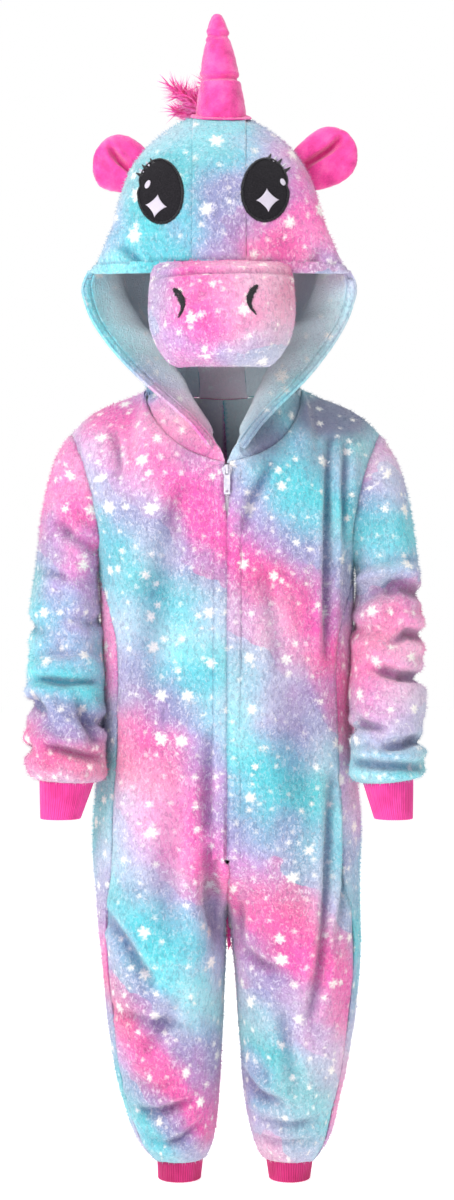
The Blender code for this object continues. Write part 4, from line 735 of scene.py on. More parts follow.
def fine_mesh(node, level, cloth=True):
    """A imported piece's form, paired into quads and smoothed."""
    shape = merged(node)
    if cloth:
        mark_sides(shape, node)
    bmesh.ops.join_triangles(
        shape,
        faces=shape.faces[:],
        cmp_materials=True,
        angle_face_threshold=PAIR_ANGLE,
        angle_shape_threshold=PAIR_ANGLE,
    )
    crease = shape.edges.layers.float.new("crease_edge")
    for edge in shape.edges:
        sides = {face.material_index for face in edge.link_faces}
        edge[crease] = 0.9 if len(sides) > 1 else 0.0
    obj = link(node + "_coarse", mesh_of(shape, node + "_coarse"))
    fit_limit(obj)
    subdivided(obj, level)
    fine = applied(obj, node)
    drop(obj)
    fine.shade_smooth()
    return fine


def corners_of(mesh):
    """Each quad's four corners."""
    return read(mesh.loops, "vertex_index", np.int32).reshape(-1, 4)


def normals_from(points, quads):
    """Each point's normal from these quads alone."""
    across = np.cross(points[quads[:, 2]] - points[quads[:, 0]], points[quads[:, 3]] - points[quads[:, 1]])
    normals = np.zeros_like(points)
    for corner in range(4):
        np.add.at(normals, quads[:, corner], across)
    return normals / np.maximum(np.linalg.norm(normals, axis=1, keepdims=True), 1e-12)


def tree_of(points):
    tree = KDTree(len(points))
    for number, point in enumerate(points):
        tree.insert(point, number)
    tree.balance()
    return tree


def surface_of(meshes):
    """The meshes as one surface, for finding its nearest point or laying things on it."""
    points, faces = [], []
    for mesh in meshes:
        start = len(points)
        points += [tuple(p) for p in points_of(mesh)]
        faces += [tuple(i + start for i in face.vertices) for face in mesh.polygons]
    return BVHTree.FromPolygons(points, faces)


class Cloth:
    """One cloth piece's fine mesh while its seams, creases and nap are pressed into it."""

    def __init__(self, node):
        self.node = node
        self.mesh = fine_mesh(node, 3)
        self.points = points_of(self.mesh)
        self.flat_points = self.points.copy()
        self.quads = corners_of(self.mesh)
        sides = read(self.mesh.polygons, "material_index", np.int32)[:, 0]
        self.side = np.full(len(self.points), RIM)
        self.side[self.quads[sides == INSIDE].ravel()] = INSIDE
        self.side[self.quads[sides == OUTSIDE].ravel()] = OUTSIDE
        self.outer = np.flatnonzero(self.side == OUTSIDE)
        self.outer_quads = self.quads[sides == OUTSIDE]
        self.inner_quads = self.quads[sides == INSIDE]
        on_rim = np.zeros(len(self.points), bool)
        on_rim[self.quads[sides == RIM].ravel()] = True
        self.edge = np.flatnonzero(on_rim & (self.side == OUTSIDE))
        self.hidden = np.flatnonzero(~on_rim & (self.side == INSIDE))
        self.normals = normals_from(self.points, self.outer_quads)
        self.rest = np.flatnonzero(self.side != OUTSIDE)
        near = tree_of(self.points[self.outer])
        self.partner = self.outer[[near.find(self.points[i])[1] for i in self.rest]]
        # How much painted shade each point takes, along its sewn edges and in its folds.
        self.seam = np.zeros(len(self.points))

    def places(self):
        return self.points[self.outer]

    def outer_normals(self):
        return self.normals[self.outer]

    def press(self, depth):
        """Moves the outer face in by depth at each of its points, and the rest of the cloth with it."""
        move = np.zeros_like(self.points)
        move[self.outer] = -depth[:, None] * self.normals[self.outer]
        move[self.rest] = move[self.partner]
        self.points += move
        self.normals = normals_from(self.points, self.outer_quads)

    def close_seams(self, held, least):
        """Draws the sewn edges out to the pieces that they are sewn to.

        What is held stays where it is, and at least this far from the centre line."""
        others = surface_of(frame["nodes"][other].data for other in CUTS if other != self.node)
        rims = np.flatnonzero(self.side == RIM)
        edges = np.concatenate([self.edge, rims])
        moves = np.zeros((len(edges), 3))
        for number, point in enumerate(self.points[edges]):
            place, _, _, away = others.find_nearest(Vector(point), SEAM_GAP)
            if place is not None and away > 1e-6:
                moves[number] = (np.array(place) - point) / away * (away / 2 + SEAM_LAP)
        if held:
            stay = held(self.points)
            x = self.points[stay, 0]
            side = np.sign(x.mean())
            self.points[stay, 0] = side * np.maximum(side * x, least)
            moves[stay[edges]] = 0
        near = tree_of(self.points[edges])
        total = np.zeros_like(self.points)
        for number, point in enumerate(self.points):
            _, nearest, away = near.find(point)
            if away < SEAM_EASE:
                total[number] = moves[nearest] * (1 - away / SEAM_EASE) ** 2
        self.points += total
        self.normals = normals_from(self.points, self.outer_quads)

    def roll_seams(self, depth, reach, where):
        """Rolls the outer face in towards its sewn edges, where the test holds, and lays painted shade along them."""
        sewn = self.edge[where(self.points[self.edge])]
        near = tree_of(self.points[sewn])
        away = np.array([near.find(point)[2] for point in self.places()])
        self.seam[self.outer] = np.maximum(
            self.seam[self.outer], PAINTED_SEAM_SHADE_SHARE * np.clip(1 - away / PAINTED_SEAM_SHADE_REACH, 0, 1)
        )
        self.press(depth * np.clip(1 - away / reach, 0, 1) ** 2)

    def raise_nap(self, height, seed):
        """Lifts the pile on both faces in clumps of 2 to 6 mm."""
        inner = normals_from(self.points, self.inner_quads)
        lift = np.where((self.side == OUTSIDE)[:, None], self.normals, 0)
        lift = np.where((self.side == INSIDE)[:, None], inner, lift)
        self.points += height * clumps(self.flat_points, seed)[:, None] * lift

    def finish(self, material, across, along, turn=None):
        """Writes the points back with the cloth's own map and the print's phase, and returns the piece."""
        mesh = self.mesh
        set_points(mesh, self.points)
        mesh.materials.clear()
        mesh.materials.append(material)
        mesh.polygons.foreach_set("material_index", np.zeros(len(mesh.polygons), np.int32))
        write_map(mesh, self.quads, across, along, turn)
        write_values(mesh, "tide", tide(self.node, self.flat_points))
        write_values(mesh, "starry", (self.side != RIM).astype(float))
        deep = smooth_step(self.flat_points[:, 1], *HOOD_MOUTH) * (self.side == INSIDE)
        write_values(mesh, "wrong_side", deep)
        # The painted shade along the sewn edges and in the folds.
        write_values(mesh, "seam", self.seam)
        # The painted shade just below the hood.
        write_values(mesh, "dusk", dusk(self.flat_points))
        bare = covered(self.node, self.flat_points)
        write_values(mesh, "pile", (self.side == OUTSIDE) * (1.0 - bare))
        return link(self.node + "_cloth", mesh)

    def thin_inside(self):
        """Thins the inner face's grid, which is hardly seen, to a quarter."""
        shape = bmesh.new()
        shape.from_mesh(self.mesh)
        shape.verts.ensure_lookup_table()
        bmesh.ops.unsubdivide(shape, verts=[shape.verts[i] for i in self.hidden], iterations=2)
        shape.to_mesh(self.mesh)
        shape.free()


def dusk(points):
    """How much of the painted shade just below the hood lies at each point."""
    x, y, z = points.T / MM
    shares = [
        strength * np.clip(1 - ((x - middle) / half) ** 2 - ((z - height) / tall) ** 2, 0, 1)
        for middle, height, half, tall, strength in NECK_SHADE_PATCHES
    ]
    return np.minimum(np.max(shares, axis=0), 0.8) * (y < 40)


def covered(node, points):
    """Where a felt eye lies on the cloth."""
    if not node.startswith("hood"):
        return np.zeros(len(points), bool)
    x, z = points[:, 0] / MM, points[:, 2] / MM
    hidden = np.zeros(len(points), bool)
    for look in EYES.values():
        middle, height, half, tall, _ = look["eye"]
        hidden |= ((x - middle) / (half + 5)) ** 2 + ((z - height) / (tall + 5)) ** 2 < 1
    return hidden & (points[:, 1] < 0)


def write_flat(mesh, flat):
    layer = mesh.uv_layers.new(name="Cloth")
    layer.data.foreach_set("uv", flat.astype(np.float32).ravel())


def write_map(mesh, quads, across, along, turn):
    """Lays the cloth's own map, in metres. On a tube the map's seam is kept from crossing a face."""
    u = across[quads]
    if turn is not None:
        u = np.where((np.ptp(u, axis=1) > turn / 2)[:, None] & (u < 0), u + turn, u)
    write_flat(mesh, np.stack([u, along[quads]], axis=2))


def write_values(mesh, name, values):
    layer = mesh.attributes.new(name, "FLOAT", "POINT")
    layer.data.foreach_set("value", values.astype(np.float32))


def tide(node, points):
    """The print's phase at each point."""
    x, z = points[:, 0] / MM, points[:, 2] / MM
    if node.startswith("hood"):
        start, across, down = HOOD_BANDS
        over = start + across * x + down * (FOREHEAD - z)
        if node == "hood_crown":
            return over
        depths, phases = zip(*UNDER_BRIM[node.rsplit("_", 1)[1]])
        under = smooth_step(-z, -185, -85)
        return over * (1 - under) + np.interp(-z, depths, phases) * under
    if node == "muzzle":
        aside = (MUZZLE_MIDDLE[0] - x) / MUZZLE_PINK[0]
        below = (MUZZLE_MIDDLE[1] - z) / MUZZLE_PINK[1]
        away = np.hypot(np.where(aside < 0, 0.45 * aside, aside), np.where(below < 0, 0.45 * below, below))
        return 0.97 + 0.26 * smooth_step(away, 0.4, 1.4)
    if node not in BANDS:
        return np.zeros(len(points))
    slope, *knots = BANDS[node]
    middle = {"sleeve_right": -0.19, "sleeve_left": 0.19}.get(node, 0.0)
    depth = -(points[:, 2] + slope * (points[:, 0] - middle)) / MM
    depths, phases = zip(*knots)
    return np.interp(depth, depths, phases)


# ---------------------------------------------------------------- the cloth's own maps


def arc(half, deep, angle):
    """The distance round an ellipse from its front or back to an angle."""
    angles = np.linspace(-math.pi, math.pi, 721)
    steps = np.hypot(half * np.cos(angles), deep * np.sin(angles)) * (angles[1] - angles[0])
    lengths = np.cumsum(steps)
    return np.interp(angle, angles, lengths - lengths[360])


def panel_map(points, facing, side):
    """Distance from the centre seam round the trunk or the leg, and height."""
    x, y, z = points.T
    half, deep = TRUNK_HALVES
    trunk = arc(half, deep, np.arctan2(x / half, facing * y / deep))
    shoulder = smooth_step(z, -0.12, -0.05)
    trunk = trunk * (1 - shoulder) + x * shoulder
    half, deep = LEG_HALVES
    leg = side * LEG_OUT + arc(half, deep, np.arctan2((x - side * LEG_OUT) / half, facing * y / deep))
    share = smooth_step(-z, -FORK[0], -FORK[1])
    return trunk * (1 - share) + leg * share, z + 0.4 * shoulder * (0.09 - facing * y)


def tube_map(points, half):
    """Distance round a tube, height, and the tube's whole girth."""
    line = centre_line(points, points[:, 2].min(), points[:, 2].max(), 0.025)
    away = around(points, line)
    cap = smooth_step(points[:, 2], -0.13, -0.06)
    up = points[:, 2] + 0.8 * cap * (SHOULDER - np.abs(points[:, 0]))
    return half * np.arctan2(away[:, 0], -away[:, 1]), up, TAU * half


def head_map(points):
    """Distance round the head from the middle of its front, and height, which runs on over its top."""
    away = points - HEAD
    reach = np.hypot(away[:, 0], away[:, 1])
    side = np.sign(away[:, 0].mean())
    turn = np.arctan2(away[:, 0], -away[:, 1]) * side
    turn = np.where(turn < -math.pi / 2, turn + TAU, turn)
    over = 0.5 * (HEAD_HALF * np.arctan2(away[:, 2], reach) + away[:, 2])
    shift = HOOD_SHIFTS[int(side > 0)]
    up = np.where(away[:, 2] > 0, over, away[:, 2])
    return HOOD_SCALE * reach * turn + shift[0], HOOD_SCALE * up + shift[1]


def crown_map(points):
    """Distance from the middle of the strip, and from the brim over the head to the neck."""
    away = points - HEAD
    over = HEAD_HALF * np.arctan2(away[:, 2], -away[:, 1])
    over = np.where(away[:, 1] < 0, 0.5 * (over + away[:, 2]), over + 0.5 * (0.145 - HEAD_HALF * math.pi / 2))
    front = np.where(away[:, 1] < 0, away[:, 2], math.pi * HEAD_HALF - away[:, 2])
    up = np.where(away[:, 2] > 0, over, front)
    return HOOD_SCALE * away[:, 0] + CROWN_SHIFT[0], HOOD_SCALE * up + CROWN_SHIFT[1]


def boxed_map(mesh, points, quads):
    """Each face's own flat place in metres, looked at along the axis that it faces most."""
    across = np.cross(points[quads[:, 2]] - points[quads[:, 0]], points[quads[:, 3]] - points[quads[:, 1]])
    axis = np.abs(across).argmax(axis=1)
    corners = points[quads]
    flat = np.empty((len(quads), 4, 2), np.float32)
    for number, (u, v) in enumerate(((1, 2), (0, 2), (0, 1))):
        flat[axis == number] = corners[axis == number][:, :, (u, v)] + 0.31 * number
    write_flat(mesh, flat)


# ---------------------------------------------------------------- node trees


class Maker:
    """Adds nodes to one tree. Each input is a value or another node's output."""

    def __init__(self, tree):
        self.tree = tree

    def feed(self, socket, value):
        if isinstance(value, bpy.types.NodeSocket):
            self.tree.links.new(value, socket)
        else:
            socket.default_value = value

    def add(self, kind, inputs=None, **settings):
        node = self.tree.nodes.new(kind)
        for name, value in settings.items():
            setattr(node, name, value)
        for name, value in (inputs or {}).items():
            self.feed(node.inputs[name], value)
        return node

    def math(self, operation, *values):
        node = self.add("ShaderNodeMath", operation=operation)
        for socket, value in zip(node.inputs, values):
            self.feed(socket, value)
        return node.outputs[0]

    def vector(self, operation, *values):
        node = self.add("ShaderNodeVectorMath", operation=operation)
        for socket, value in zip(node.inputs, values):
            self.feed(socket, value)
        return node

    def attribute(self, name, output="Fac"):
        return self.add("ShaderNodeAttribute", attribute_name=name).outputs[output]

    def spread(self, value, low, high, to_low=0.0, to_high=1.0):
        """Maps low..high to to_low..to_high and stops there."""
        limits = {"From Min": low, "From Max": high, "To Min": to_low, "To Max": to_high}
        return self.add("ShaderNodeMapRange", {"Value": value, **limits}, clamp=True).outputs["Result"]

    def noise(self, vector, scale, detail=2.0, roughness=0.5, distortion=0.0):
        grain = {"Scale": scale, "Detail": detail, "Roughness": roughness, "Distortion": distortion}
        return self.add("ShaderNodeTexNoise", {"Vector": vector, **grain}).outputs["Fac"]

    def wave(self, vector, direction, scale, distortion, detail=2.0, detail_scale=1.0):
        rows = {"Scale": scale, "Distortion": distortion, "Detail": detail, "Detail Scale": detail_scale}
        node = self.add("ShaderNodeTexWave", {"Vector": vector, **rows}, bands_direction=direction)
        return node.outputs["Fac"]

    def ramp(self, value, *stops, how="LINEAR"):
        """A colour for each value, by its place between the stops."""
        node = self.add("ShaderNodeValToRGB", {"Fac": value})
        node.color_ramp.interpolation = how
        elements = node.color_ramp.elements
        for number, (place, shade) in enumerate(stops):
            element = elements[number] if number < 2 else elements.new(place)
            element.position = place
            element.color = (*shade, 1)
        return node.outputs["Color"]

    def blend(self, share, first, second, how="MIX"):
        node = self.add("ShaderNodeMix", data_type="RGBA", blend_type=how)
        self.feed(node.inputs["Factor"], share)
        for socket, value in zip([s for s in node.inputs if s.type == "RGBA"], (first, second)):
            self.feed(socket, value if isinstance(value, bpy.types.NodeSocket) else (*value, 1))
        return next(s for s in node.outputs if s.type == "RGBA")


class Finish(Maker):
    """Makes one material. Its shader's steady values are given by name, and place is each point's own."""

    def __init__(self, name, **values):
        self.material = bpy.data.materials.new(name)
        self.material.use_nodes = True
        super().__init__(self.material.node_tree)
        self.shader = self.tree.nodes["Principled BSDF"]
        for socket, value in values.items():
            self.shader.inputs[socket.replace("_", " ")].default_value = value
        self.place = self.add("ShaderNodeTexCoord").outputs["Object"]

    def coat(self, shade, height=None, depth=0.0, strength=1.0):
        """Gives the shader its colour and its bump, and returns the material."""
        self.feed(self.shader.inputs["Base Color"], shade)
        if height is not None:
            bump = self.add("ShaderNodeBump", {"Height": height, "Distance": depth, "Strength": strength})
            self.feed(self.shader.inputs["Normal"], bump.outputs["Normal"])
        return self.material


def tinted(base, shares, lift=(0, 0, 0)):
    """The colour with each of its channels scaled and lifted."""
    return tuple(min(1, c * s + a) for c, s, a in zip(base, shares, lift))


def stars(make, cloth, fray, room, largest, smallest, kept, points):
    """A mask of stars, at most one in each cell of the cloth."""
    spread = make.vector("MULTIPLY", cloth, (1 / room, 1 / room, 0)).outputs["Vector"]
    cells = make.add(
        "ShaderNodeTexVoronoi", {"Vector": spread, "Scale": 1.0, "Randomness": 0.72}, voronoi_dimensions="2D"
    )
    away = make.vector("SUBTRACT", spread, cells.outputs["Position"]).outputs["Vector"]
    parts = make.add("ShaderNodeSeparateXYZ", {"Vector": away})
    chance = make.add("ShaderNodeSeparateColor", {"Color": cells.outputs["Color"]})
    reach = make.vector("LENGTH", away).outputs["Value"]
    angle = make.math("ARCTAN2", parts.outputs["X"], parts.outputs["Y"])
    turned = make.math("ADD", angle, make.math("MULTIPLY", chance.outputs["Red"], 0.5))
    spoke = make.math("FRACT", make.math("MULTIPLY", turned, points / TAU))
    tip = make.math("ABSOLUTE", make.math("MULTIPLY_ADD", spoke, 2.0, -1.0))
    edge = make.math("MULTIPLY_ADD", make.math("POWER", tip, 1.4), 0.38, 0.62)
    size = make.spread(chance.outputs["Green"], 0, 1, smallest / room, largest / room)
    inside = make.math("SUBTRACT", make.math("MULTIPLY", size, edge), reach)
    frayed = make.math("MULTIPLY_ADD", fray, 0.0076 / room, -0.0038 / room)
    mask = make.spread(make.math("ADD", inside, frayed), -0.0020 / room, 0.0020 / room)
    return make.math("MULTIPLY", mask, make.math("LESS_THAN", chance.outputs["Blue"], kept))


WHITE = (1, 1, 1)
# The print's wrong side deep in the hood, and the painted shade laid along seams and into folds.
WRONG_SIDE = (0.90, 0.94, 1.0)
PAINTED_FOLD_AND_SEAM_SHADE = (0.30, 0.27, 0.42)
# The dye's stains where two bands mix, on the pink and on the sky, its faded patches, the pile's pale
# tips, and the painted shade just below the hood.
DUSK = (0.24, 0.23, 0.48)
ROSE = (0.70, 0.13, 0.26)
TEAL = (0.10, 0.42, 0.44)
FADED = (0.93, 0.88, 0.96)
FROST = (0.97, 0.94, 0.98)
NECK_SHADE_COLOUR = (0.16, 0.12, 0.24)
# Painted shade on the chest and shoulders below the hood: (x, z, half width, half height, share) in mm.
NECK_SHADE_PATCHES = ((125, -16, 64, 40, 1.1), (44, -46, 34, 46, 0.7), (112, -66, 40, 30, 0.3), (-48, -62, 30, 26, 0.25))


def fleece():
    """Short-pile fleece with sloping bands of pink, lilac and sky under white stars."""
    colours = bpy.context.scene.onesie_print
    make = Finish(
        "fleece_print", Roughness=0.94, Sheen_Weight=0.45, Sheen_Roughness=0.5, Specular_IOR_Level=0.15
    )
    place, cloth = make.place, make.attribute("Cloth", "Vector")
    phase, starry, wrong_side, seam, neck_shade = map(
        make.attribute, ("tide", "starry", "wrong_side", "seam", "dusk")
    )
    # The bands, each edge wandering.
    drift = make.math("MULTIPLY_ADD", make.noise(place, 7.0), 0.5, -0.25)
    ripple = make.math("MULTIPLY_ADD", make.noise(place, 34.0), 0.14, -0.07)
    bands = make.math("FRACT", make.math("ADD", make.math("ADD", phase, drift), ripple))
    pink, lilac, sky = (tuple(c) for c in (colours.pink, colours.lilac, colours.sky))
    stops = (0.0, pink), (0.10, pink), (0.25, lilac), (0.42, sky), (0.58, sky), (0.75, lilac), (0.90, pink)
    dyed = make.ramp(bands, *stops, how="B_SPLINE")
    # Deeper, stained and paler patches of dye.
    deep = make.ramp(make.noise(place, 11.0, 3.0), (0.3, (0.8, 0.76, 0.84)), (0.62, WHITE))
    dyed = make.blend(0.8, dyed, deep, "MULTIPLY")
    halfway = make.math("ABSOLUTE", make.math("MULTIPLY_ADD", bands, 2.0, -1.0))
    tinge = make.blend(make.math("GREATER_THAN", halfway, 0.5), TEAL, ROSE)
    dyed = make.blend(make.spread(make.noise(place, 7.5, 3.0), 0.46, 0.66, 0.0, 0.62), dyed, tinge)
    dusk = make.spread(make.noise(place, 9.0, 3.0), 0.46, 0.64, 0.0, 0.75)
    mixed = make.spread(make.math("ABSOLUTE", make.math("SUBTRACT", halfway, 0.5)), 0.1, 0.4, 1.0, 0.0)
    dyed = make.blend(make.math("MULTIPLY", dusk, mixed), dyed, DUSK)
    pale = make.spread(make.noise(place, 6.0, 3.0), 0.44, 0.68, 0.0, 0.48)
    dyed = make.blend(make.math("MULTIPLY_ADD", mixed, 0.06, pale), dyed, FADED)
    # The pile's pale tips, and painted shade in its hollows.
    lay = make.vector("MULTIPLY", place, (1.0, 1.0, 0.66)).outputs["Vector"]
    strokes = make.noise(lay, 330.0, 2.0, 0.55, 1.1)
    frost = make.spread(strokes, 0.50, 0.72, 0.0, 0.60)
    frost = make.math("MULTIPLY", frost, make.math("MULTIPLY_ADD", mixed, 0.45, 0.55))
    dyed = make.blend(frost, dyed, FROST)
    # Painted shade in the pile's hollows, as a fine mottle.
    shade = make.ramp(make.noise(lay, 250.0, 2.0, 0.55, 0.9), (0.34, (0.58, 0.55, 0.64)), (0.52, WHITE))
    dyed = make.blend(0.6, dyed, shade, "MULTIPLY")
    # Painted shade on the chest and shoulders just below the hood.
    dyed = make.blend(neck_shade, dyed, NECK_SHADE_COLOUR)
    # Large, middling and small stars.
    room, half = colours.star_room, colours.star_half
    fray = make.noise(place, 430.0)
    large = stars(make, cloth, fray, room, half, 0.66 * half, 0.62, 6)
    aside = make.vector("ADD", cloth, (0.37 * room, 0.71 * room, 0)).outputs["Vector"]
    middle = stars(make, aside, fray, 0.7 * room, 0.54 * half, 0.34 * half, 0.5, 6)
    dots = stars(make, aside, fray, 0.40 * room, 0.3 * half, 0.17 * half, 0.55, 3)
    mask = make.math("MAXIMUM", large, make.math("MAXIMUM", middle, make.math("MULTIPLY", dots, 0.85)))
    mask = make.math("MULTIPLY", mask, starry)
    faded = make.spread(make.noise(place, 420.0), 0.3, 0.6, 0.6, 1.0)
    printed = make.blend(make.math("MULTIPLY", mask, faded), dyed, tuple(colours.star))
    printed = make.blend(make.math("MULTIPLY", wrong_side, 0.72), printed, WRONG_SIDE)
    # Painted shade along the seams and in the folds.
    printed = make.blend(make.math("MULTIPLY", seam, 0.8), printed, PAINTED_FOLD_AND_SEAM_SHADE, "MULTIPLY")
    height = make.math("ADD", make.noise(place, 420.0, 3.0, 0.7), make.noise(place, 1300.0))
    return make.coat(printed, make.math("MULTIPLY_ADD", strokes, 1.2, height), 0.0012, 0.9)


def plush():
    """Dense bright plush, combed in soft clumps."""
    base = tuple(bpy.context.scene.onesie_cloth.plush)
    make = Finish(
        "plush_pink", Roughness=0.9, Sheen_Weight=0.55, Sheen_Roughness=0.45, Specular_IOR_Level=0.15
    )
    nap = make.noise(make.place, 520.0, 3.0, 0.7)
    darker = tinted(base, (0.78, 0.62, 0.72))
    paler = tinted(base, (1.05, 1.3, 1.1), (0.02, 0.05, 0.04))
    shade = make.ramp(make.noise(make.place, 60.0, 3.0), (0.3, darker), (0.5, base), (0.72, paler))
    shade = make.blend(0.8, shade, make.ramp(nap, (0.32, (0.78, 0.7, 0.76)), (0.62, WHITE)), "MULTIPLY")
    # Painted shade in the stuffed pieces' creases.
    seam = make.math("MULTIPLY", make.attribute("seam"), 0.5)
    shade = make.blend(seam, shade, (0.6, 0.25, 0.45), "MULTIPLY")
    return make.coat(shade, make.math("ADD", nap, make.noise(make.place, 1400.0)), 0.0009, 0.8)


def fur():
    """Long strands, deep at the root and paler at the tip."""
    base = tuple(bpy.context.scene.onesie_cloth.plush)
    make = Finish("fur_pink", Roughness=0.62, Sheen_Weight=0.3, Sheen_Roughness=0.4, Specular_IOR_Level=0.3)
    root = tinted(base, (0.85, 0.6, 0.8))
    pale = tinted(base, (1.05, 1.5, 1.3), (0.05, 0.08, 0.14))
    along = make.ramp(make.attribute("tip"), (0.0, root), (0.45, base), (1.0, pale))
    streak = make.ramp(make.noise(make.place, 90.0), (0.35, (0.8, 0.7, 0.8)), (0.65, WHITE))
    return make.coat(make.blend(0.7, along, streak, "MULTIPLY"))


def knit():
    """Fine pink rib, with the stitches of each rib, painted shade between the ribs and over the ankle cuffs."""
    base = tuple(bpy.context.scene.onesie_cloth.rib_pink)
    make = Finish(
        "rib_knit_pink", Roughness=0.82, Sheen_Weight=0.25, Sheen_Roughness=0.5, Specular_IOR_Level=0.2
    )
    rows = make.wave(make.place, "Z", 260.0, 1.2, 1.0, 2.0)
    deep = tinted(base, (0.82, 0.6, 0.72))
    shade = make.ramp(make.noise(make.place, 38.0, 3.0), (0.35, deep), (0.6, base))
    loops = make.ramp(rows, (0.1, (0.82, 0.78, 0.82)), (0.6, WHITE))
    # Painted shade between the ribs, and over the whole of the ankle cuffs.
    between = make.blend(1.0, shade, (0.66, 0.4, 0.56), "MULTIPLY")
    shade = make.blend(make.attribute("rib"), between, shade)
    crimson = make.blend(1.0, shade, (0.7, 0.42, 0.52), "MULTIPLY")
    shade = make.blend(make.attribute("crimson"), shade, crimson)
    return make.coat(make.blend(0.6, shade, loops, "MULTIPLY"), rows, 0.0003, 0.7)


def felt():
    """Matted black felt."""
    base = tuple(bpy.context.scene.onesie_cloth.felt)
    make = Finish(
        "felt_black", Roughness=0.9, Sheen_Weight=0.04, Sheen_Roughness=0.6, Specular_IOR_Level=0.12
    )
    fibres = make.noise(make.place, 700.0, 4.0, 0.7)
    lifted = tinted(base, (2.6, 2.6, 2.6), (0.004, 0.004, 0.004))
    return make.coat(make.ramp(fibres, (0.4, base), (0.75, lifted)), fibres, 0.0004, 0.7)


def thread(name, base):
    """Satin-stitched thread, its strands side by side."""
    make = Finish(name, Roughness=0.5, Sheen_Weight=0.15, Sheen_Roughness=0.4, Specular_IOR_Level=0.4)
    strands = make.wave(make.place, "DIAGONAL", 420.0, 2.0, 2.0, 1.5)
    shade = make.ramp(strands, (0.15, tinted(base, (0.72, 0.72, 0.72))), (0.6, base))
    return make.coat(shade, strands, 0.0003, 0.8)


def enamel():
    """White enamelled zip metal, scuffed a little."""
    make = Finish("zip_enamel", Coat_Weight=0.3, Coat_Roughness=0.2, Specular_IOR_Level=0.5)
    scuffs = make.noise(make.place, 160.0, 3.0, 0.6)
    shade = make.ramp(scuffs, (0.3, srgb(168, 166, 182)), (0.6, srgb(206, 202, 216)))
    make.feed(make.shader.inputs["Roughness"], make.spread(scuffs, 0.3, 0.7, 0.42, 0.26))
    return make.coat(shade, make.noise(make.place, 500.0), 0.0001, 0.4)


def tape_weave():
    """Woven zip tape in pale lilac white."""
    make = Finish("zip_tape_weave", Roughness=0.8, Sheen_Weight=0.2)
    weave = make.wave(make.place, "DIAGONAL", 500.0, 0.6)
    shade = make.ramp(weave, (0.2, srgb(206, 198, 214)), (0.7, srgb(240, 236, 244)))
    return make.coat(shade, weave, 0.0002, 0.6)


def paper():
    """The plain pale floor, faintly mottled and glowing a little."""
    base = tuple(bpy.context.scene.onesie_studio.floor)
    glow = {"Emission_Color": (*WHITE, 1), "Emission_Strength": 0.56}
    make = Finish("floor_paper", Roughness=0.9, Specular_IOR_Level=0.1, **glow)
    faint = make.noise(make.place, 3.0, 3.0)
    return make.coat(make.ramp(faint, (0.3, tinted(base, (0.985, 0.985, 0.985))), (0.7, base)))


finishes = {}


def finish_of(name):
    """A material made once and shared by the pieces that have it."""
    makers = {
        "fleece": fleece,
        "plush": plush,
        "fur": fur,
        "knit": knit,
        "felt": felt,
        "enamel": enamel,
        "tape": tape_weave,
        "paper": paper,
        "black_thread": lambda: thread("thread_black", srgb(24, 22, 30)),
        "white_thread": lambda: thread("thread_white", tuple(bpy.context.scene.onesie_cloth.thread)),
    }
    if name not in finishes:
        finishes[name] = makers[name]()
    return finishes[name]


# ---------------------------------------------------------------- repeated small things


def new_tree(name, **sockets):
    """A geometry tree with these named inputs: its maker, its inputs' node, and their identifiers by name."""
    tree = bpy.data.node_groups.new(name, "GeometryNodeTree")
    add = tree.interface.new_socket
    add("Geometry", in_out="INPUT", socket_type="NodeSocketGeometry")
    add("Geometry", in_out="OUTPUT", socket_type="NodeSocketGeometry")
    inputs = {
        name: add(name, in_out="INPUT", socket_type="NodeSocket" + kind).identifier
        for name, kind in sockets.items()
    }
    make = Maker(tree)
    return make, make.add("NodeGroupInput").outputs, inputs


def named_vector(make, name, kind="FLOAT_VECTOR"):
    node = make.add("GeometryNodeInputNamedAttribute", {"Name": name}, data_type=kind)
    return node.outputs["Attribute"]


def sized_instances(make, given, points, rotation, scale):
    """Puts the unit on every point, makes the copies real and gives them their finish."""
    unit = make.add(
        "GeometryNodeObjectInfo", {"Object": given["Unit"], "As Instance": True}, transform_space="ORIGINAL"
    )
    copies = make.add(
        "GeometryNodeInstanceOnPoints",
        {"Points": points, "Instance": unit.outputs["Geometry"], "Rotation": rotation, "Scale": scale},
    )
    real = make.add("GeometryNodeRealizeInstances", {"Geometry": copies.outputs["Instances"]})
    coated = make.add(
        "GeometryNodeSetMaterial", {"Geometry": real.outputs["Geometry"], "Material": given["Finish"]}
    )
    make.add("NodeGroupOutput", {"Geometry": coated.outputs["Geometry"]})


def uneven_size(make, given):
    """A random size about 1 for each copy."""
    chance = make.add("FunctionNodeRandomValue", {"Seed": given["Seed"]}, data_type="FLOAT")
    low, high = (s for s in chance.inputs if s.enabled and s.name in ("Min", "Max") and s.type == "VALUE")
    make.feed(low, make.math("SUBTRACT", 1.0, given["Unevenness"]))
    make.feed(high, make.math("ADD", 1.0, given["Unevenness"]))
    return next(s for s in chance.outputs if s.enabled)


def placed_tree():
    """A tree that sets one unit on every point, its long side along the point's lay."""
    make, given, inputs = new_tree(
        "set_on_points", Unit="Object", Unevenness="Float", Seed="Int", Finish="Material"
    )
    spin = make.add("FunctionNodeEulerToRotation", {"Euler": named_vector(make, "spin")})
    turned = make.add(
        "FunctionNodeAlignRotationToVector",
        {"Rotation": spin.outputs["Rotation"], "Vector": named_vector(make, "lay")},
        axis="Z",
    )
    scale = make.vector("SCALE", named_vector(make, "size"))
    make.feed(scale.inputs["Scale"], uneven_size(make, given))
    sized_instances(make, given, given["Geometry"], turned.outputs["Rotation"], scale.outputs["Vector"])
    return make.tree, inputs


